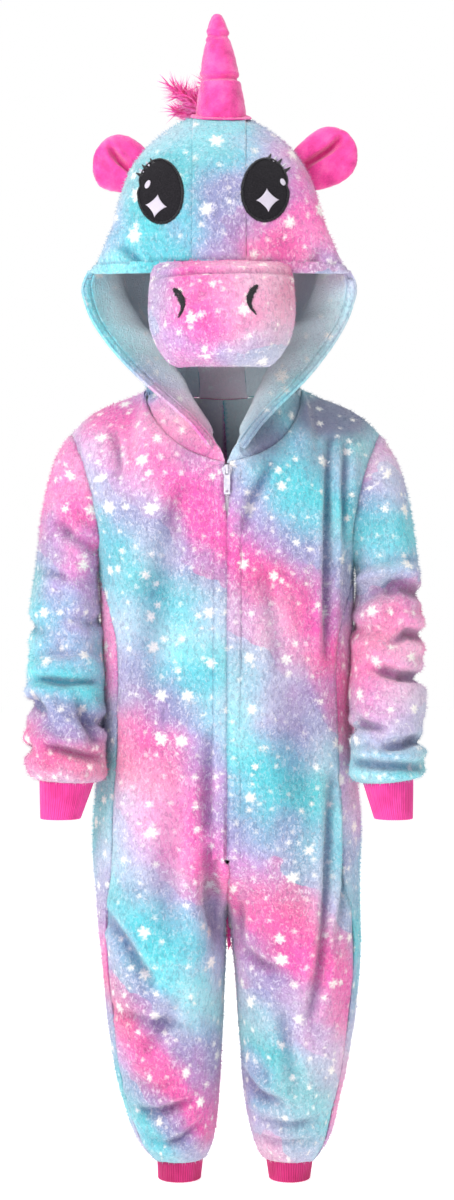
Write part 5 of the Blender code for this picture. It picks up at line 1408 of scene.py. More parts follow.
def pile_tree():
    """A tree that stands loose fibres all over the outer face of the cloth."""
    make, given, inputs = new_tree(
        "loose_pile",
        Unit="Object",
        Density="Float",
        Length="Float",
        Unevenness="Float",
        Seed="Int",
        Finish="Material",
    )
    density = make.math("MULTIPLY", given["Density"], named_vector(make, "pile", "FLOAT"))
    points = make.add(
        "GeometryNodeDistributePointsOnFaces",
        {"Mesh": given["Geometry"], "Density": density, "Seed": given["Seed"]},
    )
    lean = make.add("FunctionNodeRandomValue", data_type="FLOAT_VECTOR")
    make.feed(lean.inputs["Min"], (-0.9, -0.9, -1.1))
    make.feed(lean.inputs["Max"], (0.9, 0.9, 0.5))
    way = make.vector("ADD", points.outputs["Normal"], next(s for s in lean.outputs if s.enabled))
    turned = make.add("FunctionNodeAlignRotationToVector", {"Vector": way.outputs["Vector"]}, axis="Z")
    scale = make.math("MULTIPLY", given["Length"], uneven_size(make, given))
    sized_instances(make, given, points.outputs["Points"], turned.outputs["Rotation"], scale)
    return make.tree, inputs


trees = {}


def grown(name, source, kind, **values):
    """Runs one of the trees on a mesh and returns what it makes as a plain mesh."""
    if kind not in trees:
        trees[kind] = {"placed": placed_tree, "pile": pile_tree}[kind]()
    tree, inputs = trees[kind]
    holder = link(name + "_source", source)
    modifier = holder.modifiers.new("Grow", "NODES")
    modifier.node_group = tree
    for socket, value in values.items():
        modifier[inputs[socket]] = value
    holder.update_tag()
    mesh = applied(holder, name)
    drop(holder)
    mesh.shade_smooth()
    return mesh


def set_out(name, unit, places, lays, sizes, unevenness, seed, finish, spins=(0, 0, 0)):
    """A mesh of the unit set on every place along its lay. The unit is used up."""
    source = bpy.data.meshes.new("points")
    source.vertices.add(len(places))
    set_points(source, np.asarray(places, float))
    for mark, values in (("lay", lays), ("spin", spins), ("size", sizes)):
        layer = source.attributes.new(mark, "FLOAT_VECTOR", "POINT")
        values = np.broadcast_to(np.asarray(values, np.float32), (len(places), 3))
        layer.data.foreach_set("vector", values.ravel())
    mesh = grown(
        name, source, "placed", Unit=unit, Unevenness=unevenness, Seed=seed, Finish=finish_of(finish)
    )
    drop(unit)
    return mesh


def band_faces(rows, columns, last):
    """Quads between each two rows of points, up to the last column."""
    for row in range(rows - 1):
        for i in range(last):
            j = (i + 1) % columns
            yield row * columns + i, row * columns + j, (row + 1) * columns + j, (row + 1) * columns + i


def rings_closed(rings, first, last):
    """Points and faces of a tube over rings that have the same count, with a point at each end."""
    count = len(rings[0])
    points = [p for ring in rings for p in ring]
    faces = list(band_faces(len(rings), count, count))
    start, top = len(points), len(points) - count
    for i in range(count):
        j = (i + 1) % count
        faces += [(start, j, i), (start + 1, top + i, top + j)]
    return points + [first, last], faces


def ring(sides, reach, height, aside=0.0):
    angles = [TAU * i / sides for i in range(sides)]
    return [(reach * math.cos(a) + aside, reach * math.sin(a), height) for a in angles]


def capsule(name, sides=6):
    """A unit thread: one long and one across, rounded at both ends, its long side up."""
    profile = ((-0.46, 0.5), (-0.3, 0.92), (0, 1.0), (0.3, 0.92), (0.46, 0.5))
    rings = [ring(sides, 0.5 * reach, height) for height, reach in profile]
    return link(name, mesh_from(name, *rings_closed(rings, (0, 0, -0.5), (0, 0, 0.5))))


def strand(name, steps):
    """A unit hair: one long and one across at its root, bent and tapering to its tip."""
    shares = [step / steps for step in range(steps)]
    rings = [ring(3, 0.5 * (1 - share) ** 0.7 + 0.06, share, 0.9 * share**2) for share in shares]
    mesh = mesh_from(name, *rings_closed(rings, (0, 0, -0.02), (0.95, 0, 1)))
    write_values(mesh, "tip", np.array([*np.repeat(shares, 3), 0, 1]))
    return link(name, mesh)


def fibre(name):
    """One loose fibre: a sliver one long."""
    mesh = mesh_from(name, [(-0.075, 0, 0), (0.075, 0, 0), (0.05, 0.12, 1)], [(0, 1, 2)])
    return link(name, mesh)


# ---------------------------------------------------------------- sewing pieces on


def ride(obj, slot, *nodes, body=GARMENT):
    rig.ride(obj, body)
    if nodes:
        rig.replaces(obj, *nodes)
    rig.slot(obj, slot)
    return obj


def dressed(name, mesh, finish, slot, *nodes, body=GARMENT):
    """Makes a piece of a mesh in one finish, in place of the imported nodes."""
    mesh.materials.clear()
    mesh.materials.append(finish_of(finish))
    return ride(link(name, mesh), slot, *nodes, body=body)


def declare(obj, node, rests_on, with_pieces=()):
    width, length, area, held = CUTS[node]
    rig.sheet(obj, flat=(width, length), held=held, rests_on=rests_on, area=area, with_pieces=with_pieces)


def grow_pile(obj, seed):
    """The loose fibres over a fleece piece."""
    sizes = bpy.context.scene.onesie_cloth
    unit = fibre("fibre_unit")
    mesh = grown(
        "pile_" + obj.name,
        obj.data.copy(),
        "pile",
        Unit=unit,
        Density=float(sizes.pile_count),
        Length=sizes.pile,
        Unevenness=0.35,
        Seed=seed,
        Finish=finish_of("fleece"),
    )
    drop(unit)
    return ride(link("pile_" + obj.name, mesh), "fleece_print")


def fleece_piece(node, cloth_map, where, rests_on, seed, held=None, least=0.0, drawn=None):
    """Makes one fleece piece from its packed form, with its seams, creases, nap and loose pile.

    The test where tells which of its edges are sewn, and held which points the sewing leaves alone."""
    sizes = bpy.context.scene.onesie_cloth
    cloth = Cloth(node)
    if node in CREASES:
        depth = FOLD_GAIN * crease_depth(cloth.places(), cloth.outer_normals(), CREASES[node])
        # Painted shade laid into each fold, by its depth.
        cloth.seam[cloth.outer] = FOLD_PAINTED_SHADE * np.clip(depth / FOLD_DEEP, 0, 1)
        cloth.press(depth)
    cloth.press(SWELL * mottle(cloth.places(), SWELL_SIZE, seed + 5))
    cloth.roll_seams(sizes.seam_dip, sizes.seam_reach, where)
    cloth.close_seams(held, least)
    if drawn:
        cloth.points[:, 0] -= drawn(cloth.flat_points)
    cloth.raise_nap(sizes.nap, seed)
    piece = cloth.finish(finish_of("fleece"), *cloth_map(cloth.flat_points))
    cloth.thin_inside()
    ride(piece, "fleece_print", node)
    declare(piece, node, rests_on, [grow_pile(piece, seed)])
    return piece


def everywhere(points):
    return np.ones(len(points), bool)


def above(height):
    return lambda points: points[:, 2] > height


def beside_zip(points):
    x, y, z = points.T
    return (np.abs(x) < 0.006) & (y < -0.09) & (z > -0.54)


def zip_shut(points):
    """How far each placket's inner edge draws in below the pull tab, where the two lie shut."""
    x, _, z = points.T
    gap = np.interp(-z, (0.108, 0.125, 0.140, 0.160), (0.0027, 0.0024, 0.0018, 0.0010)) + 0.0003
    return np.sign(x) * gap * smooth_step(-z, 0.116, 0.148) * (1 - smooth_step(np.abs(x), 0.003, 0.009))


# ---------------------------------------------------------------- pieces


def make_body():
    panels = ("front_right", -1, -1), ("front_left", -1, 1), ("back_right", 1, -1), ("back_left", 1, 1)
    for seed, (node, facing, side) in enumerate(panels):
        fleece_piece(
            node,
            lambda points, facing=facing, side=side: panel_map(points, facing, side),
            above(ANKLE_HEM),
            ["sleeve_right", "sleeve_left"],
            10 + seed,
            held=beside_zip if facing < 0 else None,
            least=ZIP_HALF,
        )


def make_sleeves():
    def arm_map(points):
        return tube_map(points, ARM_HALF)

    for seed, node in enumerate(("sleeve_right", "sleeve_left")):
        fleece_piece(node, arm_map, above(WRIST_HEM), ["front_right"], 20 + seed)


def ribbed(node, seed):
    """A cuff with fine ribs round it."""
    sizes = bpy.context.scene.onesie_cloth
    cloth = Cloth(node)
    across, along, girth = tube_map(cloth.flat_points, CUFF_HALF)
    ribs = round(girth / sizes.rib)
    wave = np.cos(across[cloth.outer] / girth * TAU * ribs)
    cloth.press(-sizes.rib_rise * wave)
    cloth.raise_nap(0.0001, seed)
    piece = cloth.finish(finish_of("knit"), across, along, girth)
    # Each rib's crest, for the painted shade between the ribs, and painted shade over the ankle cuffs.
    crest = np.ones(len(cloth.points))
    crest[cloth.outer] = 0.5 + 0.5 * wave
    write_values(piece.data, "rib", crest)
    write_values(piece.data, "crimson", np.full(len(crest), float(node.startswith("ankle"))))
    cloth.thin_inside()
    ride(piece, "rib_knit", node)
    declare(piece, node, [node.replace("wrist_cuff", "sleeve").replace("ankle_cuff", "front")])


def make_cuffs():
    cuffs = "wrist_cuff_right", "wrist_cuff_left", "ankle_cuff_right", "ankle_cuff_left"
    for seed, node in enumerate(cuffs):
        ribbed(node, 40 + seed)


hood_parts = []


def make_hood():
    for seed, node in enumerate(
        ("hood_side_right", "hood_side_left", "hood_crown", "hood_band_right", "hood_band_left")
    ):
        cloth_map = crown_map if node == "hood_crown" else head_map
        hood_parts.append(fleece_piece(node, cloth_map, everywhere, ["front_right"], 30 + seed))


def solid_points(node, level):
    """A stuffed piece's fine mesh with its creases."""
    mesh = fine_mesh(node, level, cloth=False)
    points = points_of(mesh)
    quads = corners_of(mesh)
    depth = np.zeros(len(points))
    if node in CREASES:
        normals = normals_from(points, quads)
        depth = crease_depth(points, normals, CREASES[node])
        points = points - depth[:, None] * normals
    # How much painted shade lies in each crease.
    write_values(mesh, "seam", np.clip(depth / FOLD_DEEP, 0, 1) ** 2)
    return mesh, points, quads


def stuffed(node, level, finish, slot, seed, fill):
    mesh, points, quads = solid_points(node, level)
    nap = bpy.context.scene.onesie_cloth.nap * clumps(points, seed)
    set_points(mesh, points + nap[:, None] * normals_from(points, quads))
    boxed_map(mesh, points, quads)
    write_values(mesh, "tide", tide(node, points))
    write_values(mesh, "starry", np.ones(len(points)))
    write_values(mesh, "pile", np.ones(len(points)))
    piece = dressed(node + "_stuffed", mesh, finish, slot, node)
    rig.padded(piece, fill=fill)
    return piece


def on_front(surface, x, z, rise):
    """The point that stands rise in front of the surface at x and z."""
    hit = surface.ray_cast(Vector((x, -0.5, z)), Vector((0, 1, 0)))
    if hit[0] is None:
        near = surface.find_nearest(Vector((x, -0.12, z)))
        return near[0] + near[1] * rise
    normal = hit[1] if hit[1].y < 0 else -hit[1]
    return hit[0] + normal * rise


def patch(name, grid, rise, surface, wraps):
    """A closed pad on a surface. grid holds rows of (x, z) in mm, and rise is each one's height in mm."""
    rows, columns = len(grid), len(grid[0])
    top = [on_front(surface, x * MM, z * MM, h * MM) for g, r in zip(grid, rise) for (x, z), h in zip(g, r)]
    under = [on_front(surface, x * MM, z * MM, -0.6 * MM) for g in grid for x, z in g]
    faces, count = [], rows * columns
    for quad in band_faces(rows, columns, columns if wraps else columns - 1):
        faces += [quad, tuple(count + k for k in reversed(quad))]
    rim = [(rows - 1) * columns + i for i in range(columns)]
    if not wraps:
        right = [row * columns + columns - 1 for row in range(1, rows - 1)]
        left = [row * columns for row in range(rows - 2, 0, -1)]
        rim = list(range(columns)) + right + rim[::-1] + left
    for a, b in zip(rim, rim[1:] + rim[:1]):
        faces.append((a, b, count + b, count + a))
    shape = bmesh.new()
    corners = [shape.verts.new(p) for p in top + under]
    for face in faces:
        shape.faces.new([corners[i] for i in face])
    bmesh.ops.remove_doubles(shape, verts=shape.verts, dist=2 * MERGE)
    bmesh.ops.recalc_face_normals(shape, faces=shape.faces)
    mesh = mesh_of(shape, name)
    mesh.shade_smooth()
    return mesh


def round_patch(name, centre, outline, surface, rise, rings=10, steps=72):
    """A pad whose edge is outline(angle), domed to rise mm."""
    grid, heights = [], []
    for ring in range(rings + 1):
        share = math.sin(math.pi / 2 * ring / rings)
        edge = [outline(TAU * i / steps) for i in range(steps)]
        grid.append([(centre[0] + share * x, centre[1] + share * z) for x, z in edge])
        heights.append([rise * (1 - share**6) ** 0.5 + 0.15] * steps)
    return patch(name, grid, heights, surface, True)


def strip_patch(name, line, surface, rise, across=6, along=30):
    """A pad along a bent line of (x, z, half width), domed to rise mm."""
    line = np.array(line, float)
    spans = lengths_along(line[:, :2])
    places = np.linspace(0, spans[-1], along)
    smooth = np.column_stack([np.interp(places, spans, line[:, i]) for i in range(3)])
    for _ in range(3):
        smooth[1:-1] = (smooth[:-2] + 2 * smooth[1:-1] + smooth[2:]) / 4
    ways = np.gradient(smooth[:, :2], axis=0)
    ways /= np.linalg.norm(ways, axis=1, keepdims=True)
    grid, heights = [], []
    for (x, z, half), (a, b) in zip(smooth, ways):
        steps = np.linspace(-1, 1, across + 1)
        grid.append([(x - b * half * s, z + a * half * s) for s in steps])
        heights.append([rise * (1 - s * s) ** 0.5 * min(1, half) + 0.1 for s in steps])
    return patch(name, grid, heights, surface, False)


def satin_edge(name, centre, outline, surface):
    """Short stitches across a pad's edge, all the way round."""
    loop = np.array([outline(angle) for angle in np.linspace(0, TAU, 401)])
    along = lengths_along(loop) * MM
    count = int(along[-1] / bpy.context.scene.onesie_cloth.stitch)
    places, lays = [], []
    for number in range(count):
        x, z = (np.interp(along[-1] * number / count, along, loop[:, i]) for i in range(2))
        inner = on_front(surface, (centre[0] + x * 0.95) * MM, (centre[1] + z * 0.95) * MM, 0.0017)
        outer = on_front(surface, (centre[0] + x * 1.03) * MM, (centre[1] + z * 1.03) * MM, 0.0007)
        places.append((inner + outer) / 2)
        lays.append((outer - inner).normalized())
    return set_out(
        name, capsule(name + "_unit"), places, lays, (0.0013, 0.0013, 0.0036), 0.12, 5, "black_thread"
    )


def cross_stitches(name, line, surface):
    """Satin stitches across a bent line of (x, z, half width), each a little past its edges."""
    line = np.array(line, float)
    spans = lengths_along(line[:, :2])
    count = int(spans[-1] * MM / bpy.context.scene.onesie_cloth.stitch)
    rows = np.linspace(0, spans[-1], count)
    x, z, half = (np.interp(rows, spans, line[:, i]) for i in range(3))
    ways = np.column_stack([-np.gradient(z), np.gradient(x)])
    ways *= ((half + 0.35) / np.hypot(*ways.T))[:, None]
    places, lays, sizes = [], [], []
    for a, b, (across, up) in zip(x, z, ways):
        start, end = (
            on_front(surface, (a + s * across) * MM, (b + s * up) * MM, 1.5 * MM) for s in (-1, 1)
        )
        places.append((start + end) / 2)
        lays.append((end - start).normalized())
        sizes.append((0.0012, 0.0014, (end - start).length))
    unit = capsule(name + "_unit")
    return set_out(name + "_stitches", unit, places, lays, sizes, 0.28, 8, "black_thread")


def leaned(x, z, lean):
    """The point turned about the middle by an angle in degrees."""
    turn = math.radians(lean)
    return x * math.cos(turn) - z * math.sin(turn), x * math.sin(turn) + z * math.cos(turn)


def oval(half, tall, lean, nick=None):
    """An egg a little broader below, leaning by an angle in degrees, with a nick at another angle."""

    def outline(angle):
        cut = 0.0
        if nick:
            off = (angle - math.radians(nick) + math.pi) % TAU - math.pi
            cut = 0.09 * math.exp(-((off / 0.13) ** 2))
        x = (1 - cut) * half * math.cos(angle) * (1 - 0.07 * math.sin(angle))
        return leaned(x, (1 - cut) * tall * math.sin(angle), lean)

    return outline


def sparkle(half, tall, lean):
    """Four long points with hollow sides."""

    def outline(angle):
        c, s = math.cos(angle), math.sin(angle)
        reach = (abs(c) ** 0.78 + abs(s) ** 0.78) ** (-1 / 0.78)
        return leaned(half * reach * c, tall * reach * s, lean)

    return outline


# Each eye in mm. The felt, its sparkle and its glint: (x, z, half width, half height, lean in degrees). The
# nick in the felt is at an angle. Each lash, and each pale tuft between lashes, runs from a point to a point.
EYES = {
    "right": {
        "eye": (-76.5, 235, 26, 39.5, 6),
        "nick": 166,
        "sparkle": (-81, 216.6, 12.4, 13.6, -8),
        "glint": (-91, 243, 2.9, 5.2, -24),
        "lash": (((-84, 268), (-88.5, 276)), ((-92, 262), (-98, 269)), ((-97, 254), (-104.5, 259))),
        "tuft": (((-89, 265.5), (-93, 272)), ((-95.5, 258.5), (-101, 263.5))),
    },
    "left": {
        "eye": (44, 236, 27, 38.5, -6),
        "nick": 12,
        "sparkle": (46.5, 222.6, 13.2, 14, 4),
        "glint": (64.0, 245.4, 2.8, 4.4, 24),
        "lash": (((47, 272), (50.5, 280.5)), ((57.5, 267.5), (63, 275)), ((65, 259), (72.5, 264.5))),
        "tuft": (((53, 270.5), (57, 277.5)), ((62.5, 264), (67.5, 269.5))),
    },
}
# The finish, rise, steps, three half widths and bend of the lashes and of the tufts.
LASHES = {
    "lash": ("black_thread", 1.6, 12, (2.6, 2.0, 0.7), (0.45, 0.4)),
    "tuft": ("white_thread", 1.3, 10, (1.0, 1.8, 0.9), (0.5, 0.5)),
}


def make_eyes():
    surface = surface_of(part.data for part in hood_parts)
    for side, look in EYES.items():
        node = "eye_" + side
        x, z, half, tall, lean = look["eye"]
        outline = oval(half, tall, lean, look["nick"])
        pad = round_patch(node, (x, z), outline, surface, 1.5, 12, 96)
        disc = dressed(node + "_felt", pad, "felt", "black_felt", node)
        name = node + "_edging"
        ride(link(name, satin_edge(name, (x, z), outline, surface)), "black_felt")
        on_felt = surface_of([disc.data])
        pads = ("sparkle", sparkle, 0.8, 8, 96), ("glint", oval, 0.7, 6, 40)
        for kind, shape, rise, rings, steps in pads:
            x, z, *sizes = look[kind]
            pad = round_patch(f"{node}_{kind}", (x, z), shape(*sizes), on_felt, rise, rings, steps)
            dressed(f"{node}_{kind}", pad, "white_thread", "black_felt")
        for kind, (finish, rise, steps, (root, middle, tip), (aside, up)) in LASHES.items():
            for number, ((x0, z0), (x1, z1)) in enumerate(look[kind]):
                bend = (1 - aside) * x0 + aside * x1, (1 - up) * z0 + up * z1
                line = [(x0, z0, root), (*bend, middle), (x1, z1, tip)]
                name = f"{node}_{kind}_{number}"
                dressed(name, strip_patch(name, line, surface, rise, 6, steps), finish, "black_felt")


# Each nostril's line from its top: (x, z, half width) in mm.
NOSTRILS = {
    "right": (
        (-59, 114, 1.6), (-54.5, 109, 3.3), (-51, 103, 3.5),
        (-49, 96.5, 2.7), (-50, 89, 1.6), (-53.7, 81.5, 0.5),
    ),
    "left": (
        (33.5, 117, 1.6), (29, 112, 3.2), (25.6, 105.5, 3.5),
        (24.5, 98.5, 2.7), (26.5, 91.5, 1.6), (32, 84.5, 0.5),
    ),
}


def make_muzzle():
    muzzle = stuffed("muzzle", 3, "fleece", "fleece_print", 60, 0.75)
    grow_pile(muzzle, 61)
    surface = surface_of([muzzle.data])
    for side, line in NOSTRILS.items():
        name = "nostril_" + side
        dressed(name, strip_patch(name, line, surface, 1.4, 8, 36), "black_thread", "black_felt")
        ride(link("nostril_stitches_" + side, cross_stitches(name, line, surface)), "black_felt")


def make_horn():
    stuffed("horn", 3, "plush", "pink_plush", 70, 0.9)
    stuffed("horn_collar", 2, "plush", "pink_plush", 71, 0.5)


def make_ears():
    for seed, node in enumerate(("ear_right", "ear_left")):
        stuffed(node, 3, "plush", "pink_plush", 80 + seed, 0.6)


def random_on(node, count, seed):
    """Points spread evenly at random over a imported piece, with their normals."""
    shape = merged(node)
    bmesh.ops.triangulate(shape, faces=shape.faces)
    corners = np.array([[v.co[:] for v in face.verts] for face in shape.faces])
    shape.free()
    sides = np.cross(corners[:, 1] - corners[:, 0], corners[:, 2] - corners[:, 0])
    areas = np.linalg.norm(sides, axis=1)
    chance = np.random.default_rng(seed)
    chosen = chance.choice(len(corners), count, p=areas / areas.sum())
    a, b = np.sqrt(chance.random(count)), chance.random(count)
    weights = np.column_stack([1 - a, a * (1 - b), a * b])
    places = (corners[chosen] * weights[:, :, None]).sum(1)
    return places, sides[chosen] / areas[chosen, None]


def furred(node, count, fall, out, seed, tuft=None):
    """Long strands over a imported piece's locks, laid the way that they fall, and fuller where the tuft is."""
    mesh = fine_mesh(node, 1, cloth=False)
    write_values(mesh, "tip", np.full(len(mesh.vertices), 0.25))
    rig.padded(dressed(node + "_backing", mesh, "fur", "pink_plush", node), fill=0.3)
    grow_strands(node, random_on(node, count, seed), fall, out, seed)
    if tuft:
        places, normals = random_on(node, TUFT_DRAWS, seed + 2)
        kept = tuft(places)
        grow_strands(node, (places[kept], normals[kept]), fall, out, seed + 3, fine=True)


def grow_strands(node, rooted, fall, out, seed, fine=False):
    """One mesh of strands from the roots, the fine ones thin, close and tousled."""
    chance = np.random.default_rng(seed + 1)
    outer = out(rooted[0])
    facing = (rooted[1] * outer).sum(1) > -0.2
    places, normals, outer = (values[facing] for values in (*rooted, outer))
    count = len(places)
    lay = fall(places) + 0.35 * normals + (0.75 if fine else 0.2) * chance.normal(size=(count, 3))
    lay /= np.linalg.norm(lay, axis=1, keepdims=True)
    lay += np.maximum(0.12 - (lay * outer).sum(1), 0)[:, None] * outer
    spins = np.column_stack([np.zeros((count, 2)), chance.random(count) * TAU])
    size = (0.0010, 0.0010, 0.021) if fine else (0.0016, 0.0016, bpy.context.scene.onesie_cloth.fur)
    unit = strand(node + "_strand", 2 if fine else 4)
    name = node + ("_tuft" if fine else "_fur")
    ride(link(name, set_out(name, unit, places, lay, size, 0.3, seed, "fur", spins)), "pink_plush")


def make_mane_and_tail():
    def mane_fall(places):
        sideways = np.tile([-0.75, 0.1, -0.55], (len(places), 1))
        top = smooth_step(places[:, 2], 0.32, 0.37)[:, None]
        return sideways * (1 - top) + np.array([-0.75, -0.05, 0.3]) * top

    def from_head(places):
        away = places - HEAD
        away[:, 2] = np.maximum(away[:, 2], 0)
        return away / np.linalg.norm(away, axis=1, keepdims=True)

    def forelock(places):
        return (places[:, 2] > 0.338) & (places[:, 1] < 0.075) & (places[:, 0] > -0.062)

    furred("mane", 4300, mane_fall, from_head, 90, forelock)
    furred(
        "tail",
        2100,
        lambda places: np.tile([0.0, 0.12, -1.0], (len(places), 1)),
        lambda places: np.tile([0.0, 1.0, 0.0], (len(places), 1)),
        95,
    )


def pointed(shape):
    """Gives the slider's plate a pointed top and a narrower foot."""
    low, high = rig.box("zip_slider")
    bmesh.ops.bisect_plane(
        shape,
        geom=shape.verts[:] + shape.edges[:] + shape.faces[:],
        plane_co=(0, 0, high.z - 0.0046),
        plane_no=(0, 0, 1),
    )
    for vert in shape.verts:
        if abs(vert.co.x) > 0.006 and not low.z + 0.001 < vert.co.z < high.z - 0.001:
            vert.co.x *= 0.24 if vert.co.z > high.z - 0.001 else 0.74


def bevelled(node, width, body=GARMENT, trim=None):
    """A packed metal piece with its edges rounded off."""
    shape = merged(node)
    bmesh.ops.dissolve_limit(shape, angle_limit=math.radians(1), verts=shape.verts, edges=shape.edges)
    if trim:
        trim(shape)
    obj = link(node + "_coarse", mesh_of(shape, node + "_coarse"))
    bevel = obj.modifiers.new("Edges", "BEVEL")
    bevel.width = width
    bevel.segments = 3
    bevel.limit_method = "ANGLE"
    bevel.angle_limit = math.radians(35)
    name = node + "_enamel"
    fine = applied(obj, name)
    drop(obj)
    fine.shade_smooth()
    fine.set_sharp_from_angle(angle=math.radians(40))
    dressed(name, fine, "enamel", "zip_metal", node, body=body)


def make_zip():
    front = surface_of(frame["nodes"][node].data for node in ("zip_tape_right", "zip_tape_left"))
    for seed, side in enumerate((-1, 1)):
        fleece_piece(
            "placket_right" if side < 0 else "placket_left",
            lambda points, side=side: panel_map(points, -1, side),
            everywhere,
            ["front_right"],
            50 + seed,
            held=everywhere,
            drawn=zip_shut,
        )
    for node in ("zip_tape_right", "zip_tape_left"):
        tape = dressed(node + "_woven", fine_mesh(node, 1, cloth=False), "tape", "zip_tape", node)
        declare(tape, node, ["front_right"])
    places, lays = [], []
    for number in range(int((COIL_ENDS[1] - COIL_ENDS[0]) / COIL_PITCH)):
        z = COIL_ENDS[0] + COIL_PITCH * number
        hit = front.find_nearest(Vector((0.0035, -0.2, z)))[0]
        side = 1 if number % 2 else -1
        places.append((side * COIL_ASIDE, hit.y - COIL_RISE, z))
        lays.append((1, 0, side * COIL_SLOPE))
    coil = set_out("zip_coil", capsule("coil_unit", 5), places, lays, COIL_TURN, 0.04, 3, "tape")
    ride(link("zip_coil", coil), "zip_metal")
    bevelled("zip_slider", 0.0005, trim=pointed)
    bevelled("pull_tab", 0.0003, body="pull_tab")


def make_stage():
    scene = bpy.context.scene
    studio = scene.onesie_studio
    lens = bpy.data.cameras.new("Camera")
    lens.sensor_fit = "VERTICAL"
    lens.sensor_height = 36
    lens.lens = studio.lens
    camera = link("Camera", lens)
    camera.location = (0, -studio.camera_back, studio.camera_height)
    camera.rotation_euler = (math.pi / 2, 0, 0)
    scene.camera = camera
    edge = ring(96, FLOOR_HALF, CAD_BOX[0].z - FLOOR_DROP)
    floor = link("floor", mesh_from("floor", edge, [range(96)]))
    floor.data.materials.append(finish_of("paper"))
    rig.stage(floor)
    for name, place, aim, size, power in (
        ("key", (-2.0, -2.3, 1.1), (0, 0, -0.1), 1.5, studio.key),
        ("fill", (2.2, -2.4, 0.2), (0, 0, -0.3), 2.2, 0.7 * studio.fill),
        ("front", (-0.8, -3.3, 0.0), (0, 0, 0), 1.4, 2.2 * studio.fill),
        ("top", (0.2, 0.3, 2.6), (0, 0, 0), 2.4, 5 * studio.fill),
        ("rear", (0.8, 2.8, 0.9), (0, 0, -0.2), 1.8, 4 * studio.fill),
    ):
        lamp = bpy.data.lights.new(name, "AREA")
        lamp.size = size
        lamp.energy = power
        holder = link(name, lamp)
        holder.location = place
        holder.visible_camera = False
        holder.rotation_euler = (Vector(aim) - Vector(place)).to_track_quat("-Z", "Y").to_euler()
    world = bpy.data.worlds.new("Studio")
    world.use_nodes = True
    make = Maker(world.node_tree)
    seen = make.add("ShaderNodeLightPath").outputs["Is Camera Ray"]
    sky = world.node_tree.nodes["Background"]
    make.feed(sky.inputs["Color"], (1, 1, 1, 1))
    make.feed(sky.inputs["Strength"], make.spread(seen, 0, 1, WORLD_LIGHT, 1.0))
    scene.world = world
    scene.view_settings.view_transform = "Standard"


# ---------------------------------------------------------------- the add-on


def done(work):
    """Does a step's work and reports it finished. An error in it stops the script."""
    work()
    return {"FINISHED"}


class ONESIE_OT_stage(bpy.types.Operator):
    """Set up the floor, the lamps and the camera"""

    bl_idname = "onesie.stage"
    bl_label = "Stage"

    def execute(self, context):
        return done(make_stage)


class ONESIE_OT_body(bpy.types.Operator):
    """Make the printed fronts and backs"""

    bl_idname = "onesie.body"
    bl_label = "Body panels"

    def execute(self, context):
        return done(make_body)


class ONESIE_OT_sleeves(bpy.types.Operator):
    """Make the printed sleeves"""

    bl_idname = "onesie.sleeves"
    bl_label = "Sleeves"

    def execute(self, context):
        return done(make_sleeves)


class ONESIE_OT_cuffs(bpy.types.Operator):
    """Make the ribbed cuffs at the wrists and ankles"""

    bl_idname = "onesie.cuffs"
    bl_label = "Cuffs"

    def execute(self, context):
        return done(make_cuffs)


class ONESIE_OT_hood(bpy.types.Operator):
    """Make the hood's sides, its crown strip and its turned hem"""

    bl_idname = "onesie.hood"
    bl_label = "Hood"

    def execute(self, context):
        return done(make_hood)


class ONESIE_OT_muzzle(bpy.types.Operator):
    """Make the stuffed muzzle and its stitched nostrils"""

    bl_idname = "onesie.muzzle"
    bl_label = "Muzzle"

    def execute(self, context):
        return done(make_muzzle)


class ONESIE_OT_eyes(bpy.types.Operator):
    """Make the felt eyes with their stitched edges, sparkles and lashes"""

    bl_idname = "onesie.eyes"
    bl_label = "Eyes"

    def execute(self, context):
        return done(make_eyes)


class ONESIE_OT_horn(bpy.types.Operator):
    """Make the stuffed horn and its collar"""

    bl_idname = "onesie.horn"
    bl_label = "Horn"

    def execute(self, context):
        return done(make_horn)


class ONESIE_OT_ears(bpy.types.Operator):
    """Make the stuffed ears"""

    bl_idname = "onesie.ears"
    bl_label = "Ears"

    def execute(self, context):
        return done(make_ears)


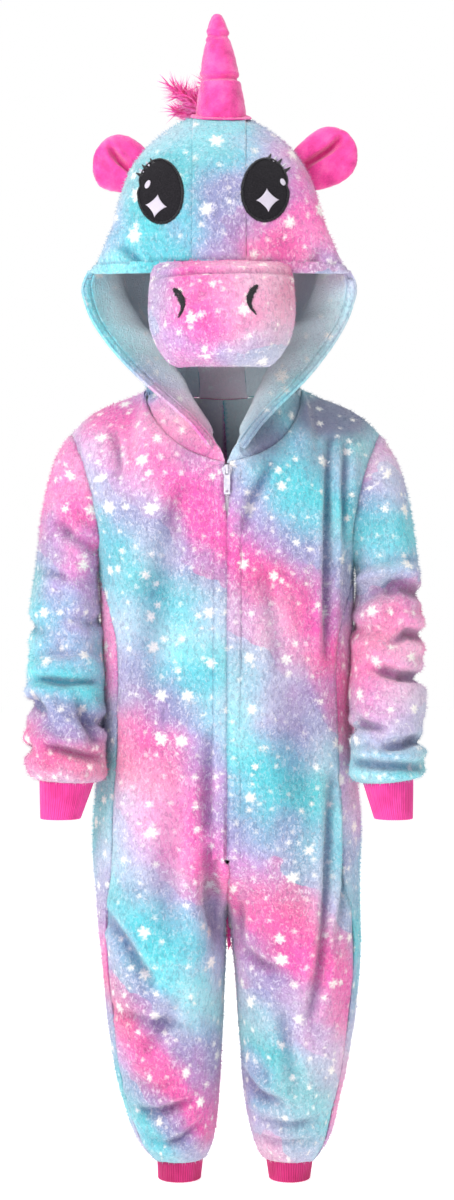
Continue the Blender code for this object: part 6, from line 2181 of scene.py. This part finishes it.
class ONESIE_OT_mane_and_tail(bpy.types.Operator):
    """Grow the mane and the tail"""

    bl_idname = "onesie.mane_and_tail"
    bl_label = "Mane and tail"

    def execute(self, context):
        return done(make_mane_and_tail)


class ONESIE_OT_zip(bpy.types.Operator):
    """Make the plackets, the zip and its pull tab"""

    bl_idname = "onesie.zip"
    bl_label = "Zip"

    def execute(self, context):
        return done(make_zip)


STEPS = (
    ONESIE_OT_stage,
    ONESIE_OT_body,
    ONESIE_OT_sleeves,
    ONESIE_OT_cuffs,
    ONESIE_OT_hood,
    ONESIE_OT_muzzle,
    ONESIE_OT_eyes,
    ONESIE_OT_horn,
    ONESIE_OT_ears,
    ONESIE_OT_mane_and_tail,
    ONESIE_OT_zip,
)


class ONESIE_PT_panel(bpy.types.Panel):
    """The onesie's sizes, colours and steps"""

    bl_idname = "ONESIE_PT_panel"
    bl_label = "Unicorn Onesie"
    bl_space_type = "VIEW_3D"
    bl_region_type = "UI"
    bl_category = "Onesie"

    def draw(self, context):
        for step in STEPS:
            self.layout.operator(step.bl_idname)
        for title, group in (
            ("Print", context.scene.onesie_print),
            ("Cloth", context.scene.onesie_cloth),
            ("Studio", context.scene.onesie_studio),
        ):
            box = self.layout.box()
            box.label(text=title)
            for name in type(group).__annotations__:
                box.prop(group, name)


CLASSES = (OnesiePrint, OnesieCloth, OnesieStudio, *STEPS, ONESIE_PT_panel)


def register():
    for kind in CLASSES:
        bpy.utils.register_class(kind)
    bpy.types.Scene.onesie_print = PointerProperty(type=OnesiePrint)
    bpy.types.Scene.onesie_cloth = PointerProperty(type=OnesieCloth)
    bpy.types.Scene.onesie_studio = PointerProperty(type=OnesieStudio)


def unregister():
    for name in ("onesie_studio", "onesie_cloth", "onesie_print"):
        delattr(bpy.types.Scene, name)
    for kind in reversed(CLASSES):
        bpy.utils.unregister_class(kind)


def main():
    register()
    for step in STEPS:
        group, name = step.bl_idname.split(".")
        getattr(getattr(bpy.ops, group), name)()
    corners = [[list(corner) for corner in box] for box in (CAD_BOX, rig.bounds())]
    with open(SIZE_FILE, "w") as sizes:
        json.dump({"cad": corners[0], "visual": corners[1]}, sizes)


if __name__ == "__main__":
    main()
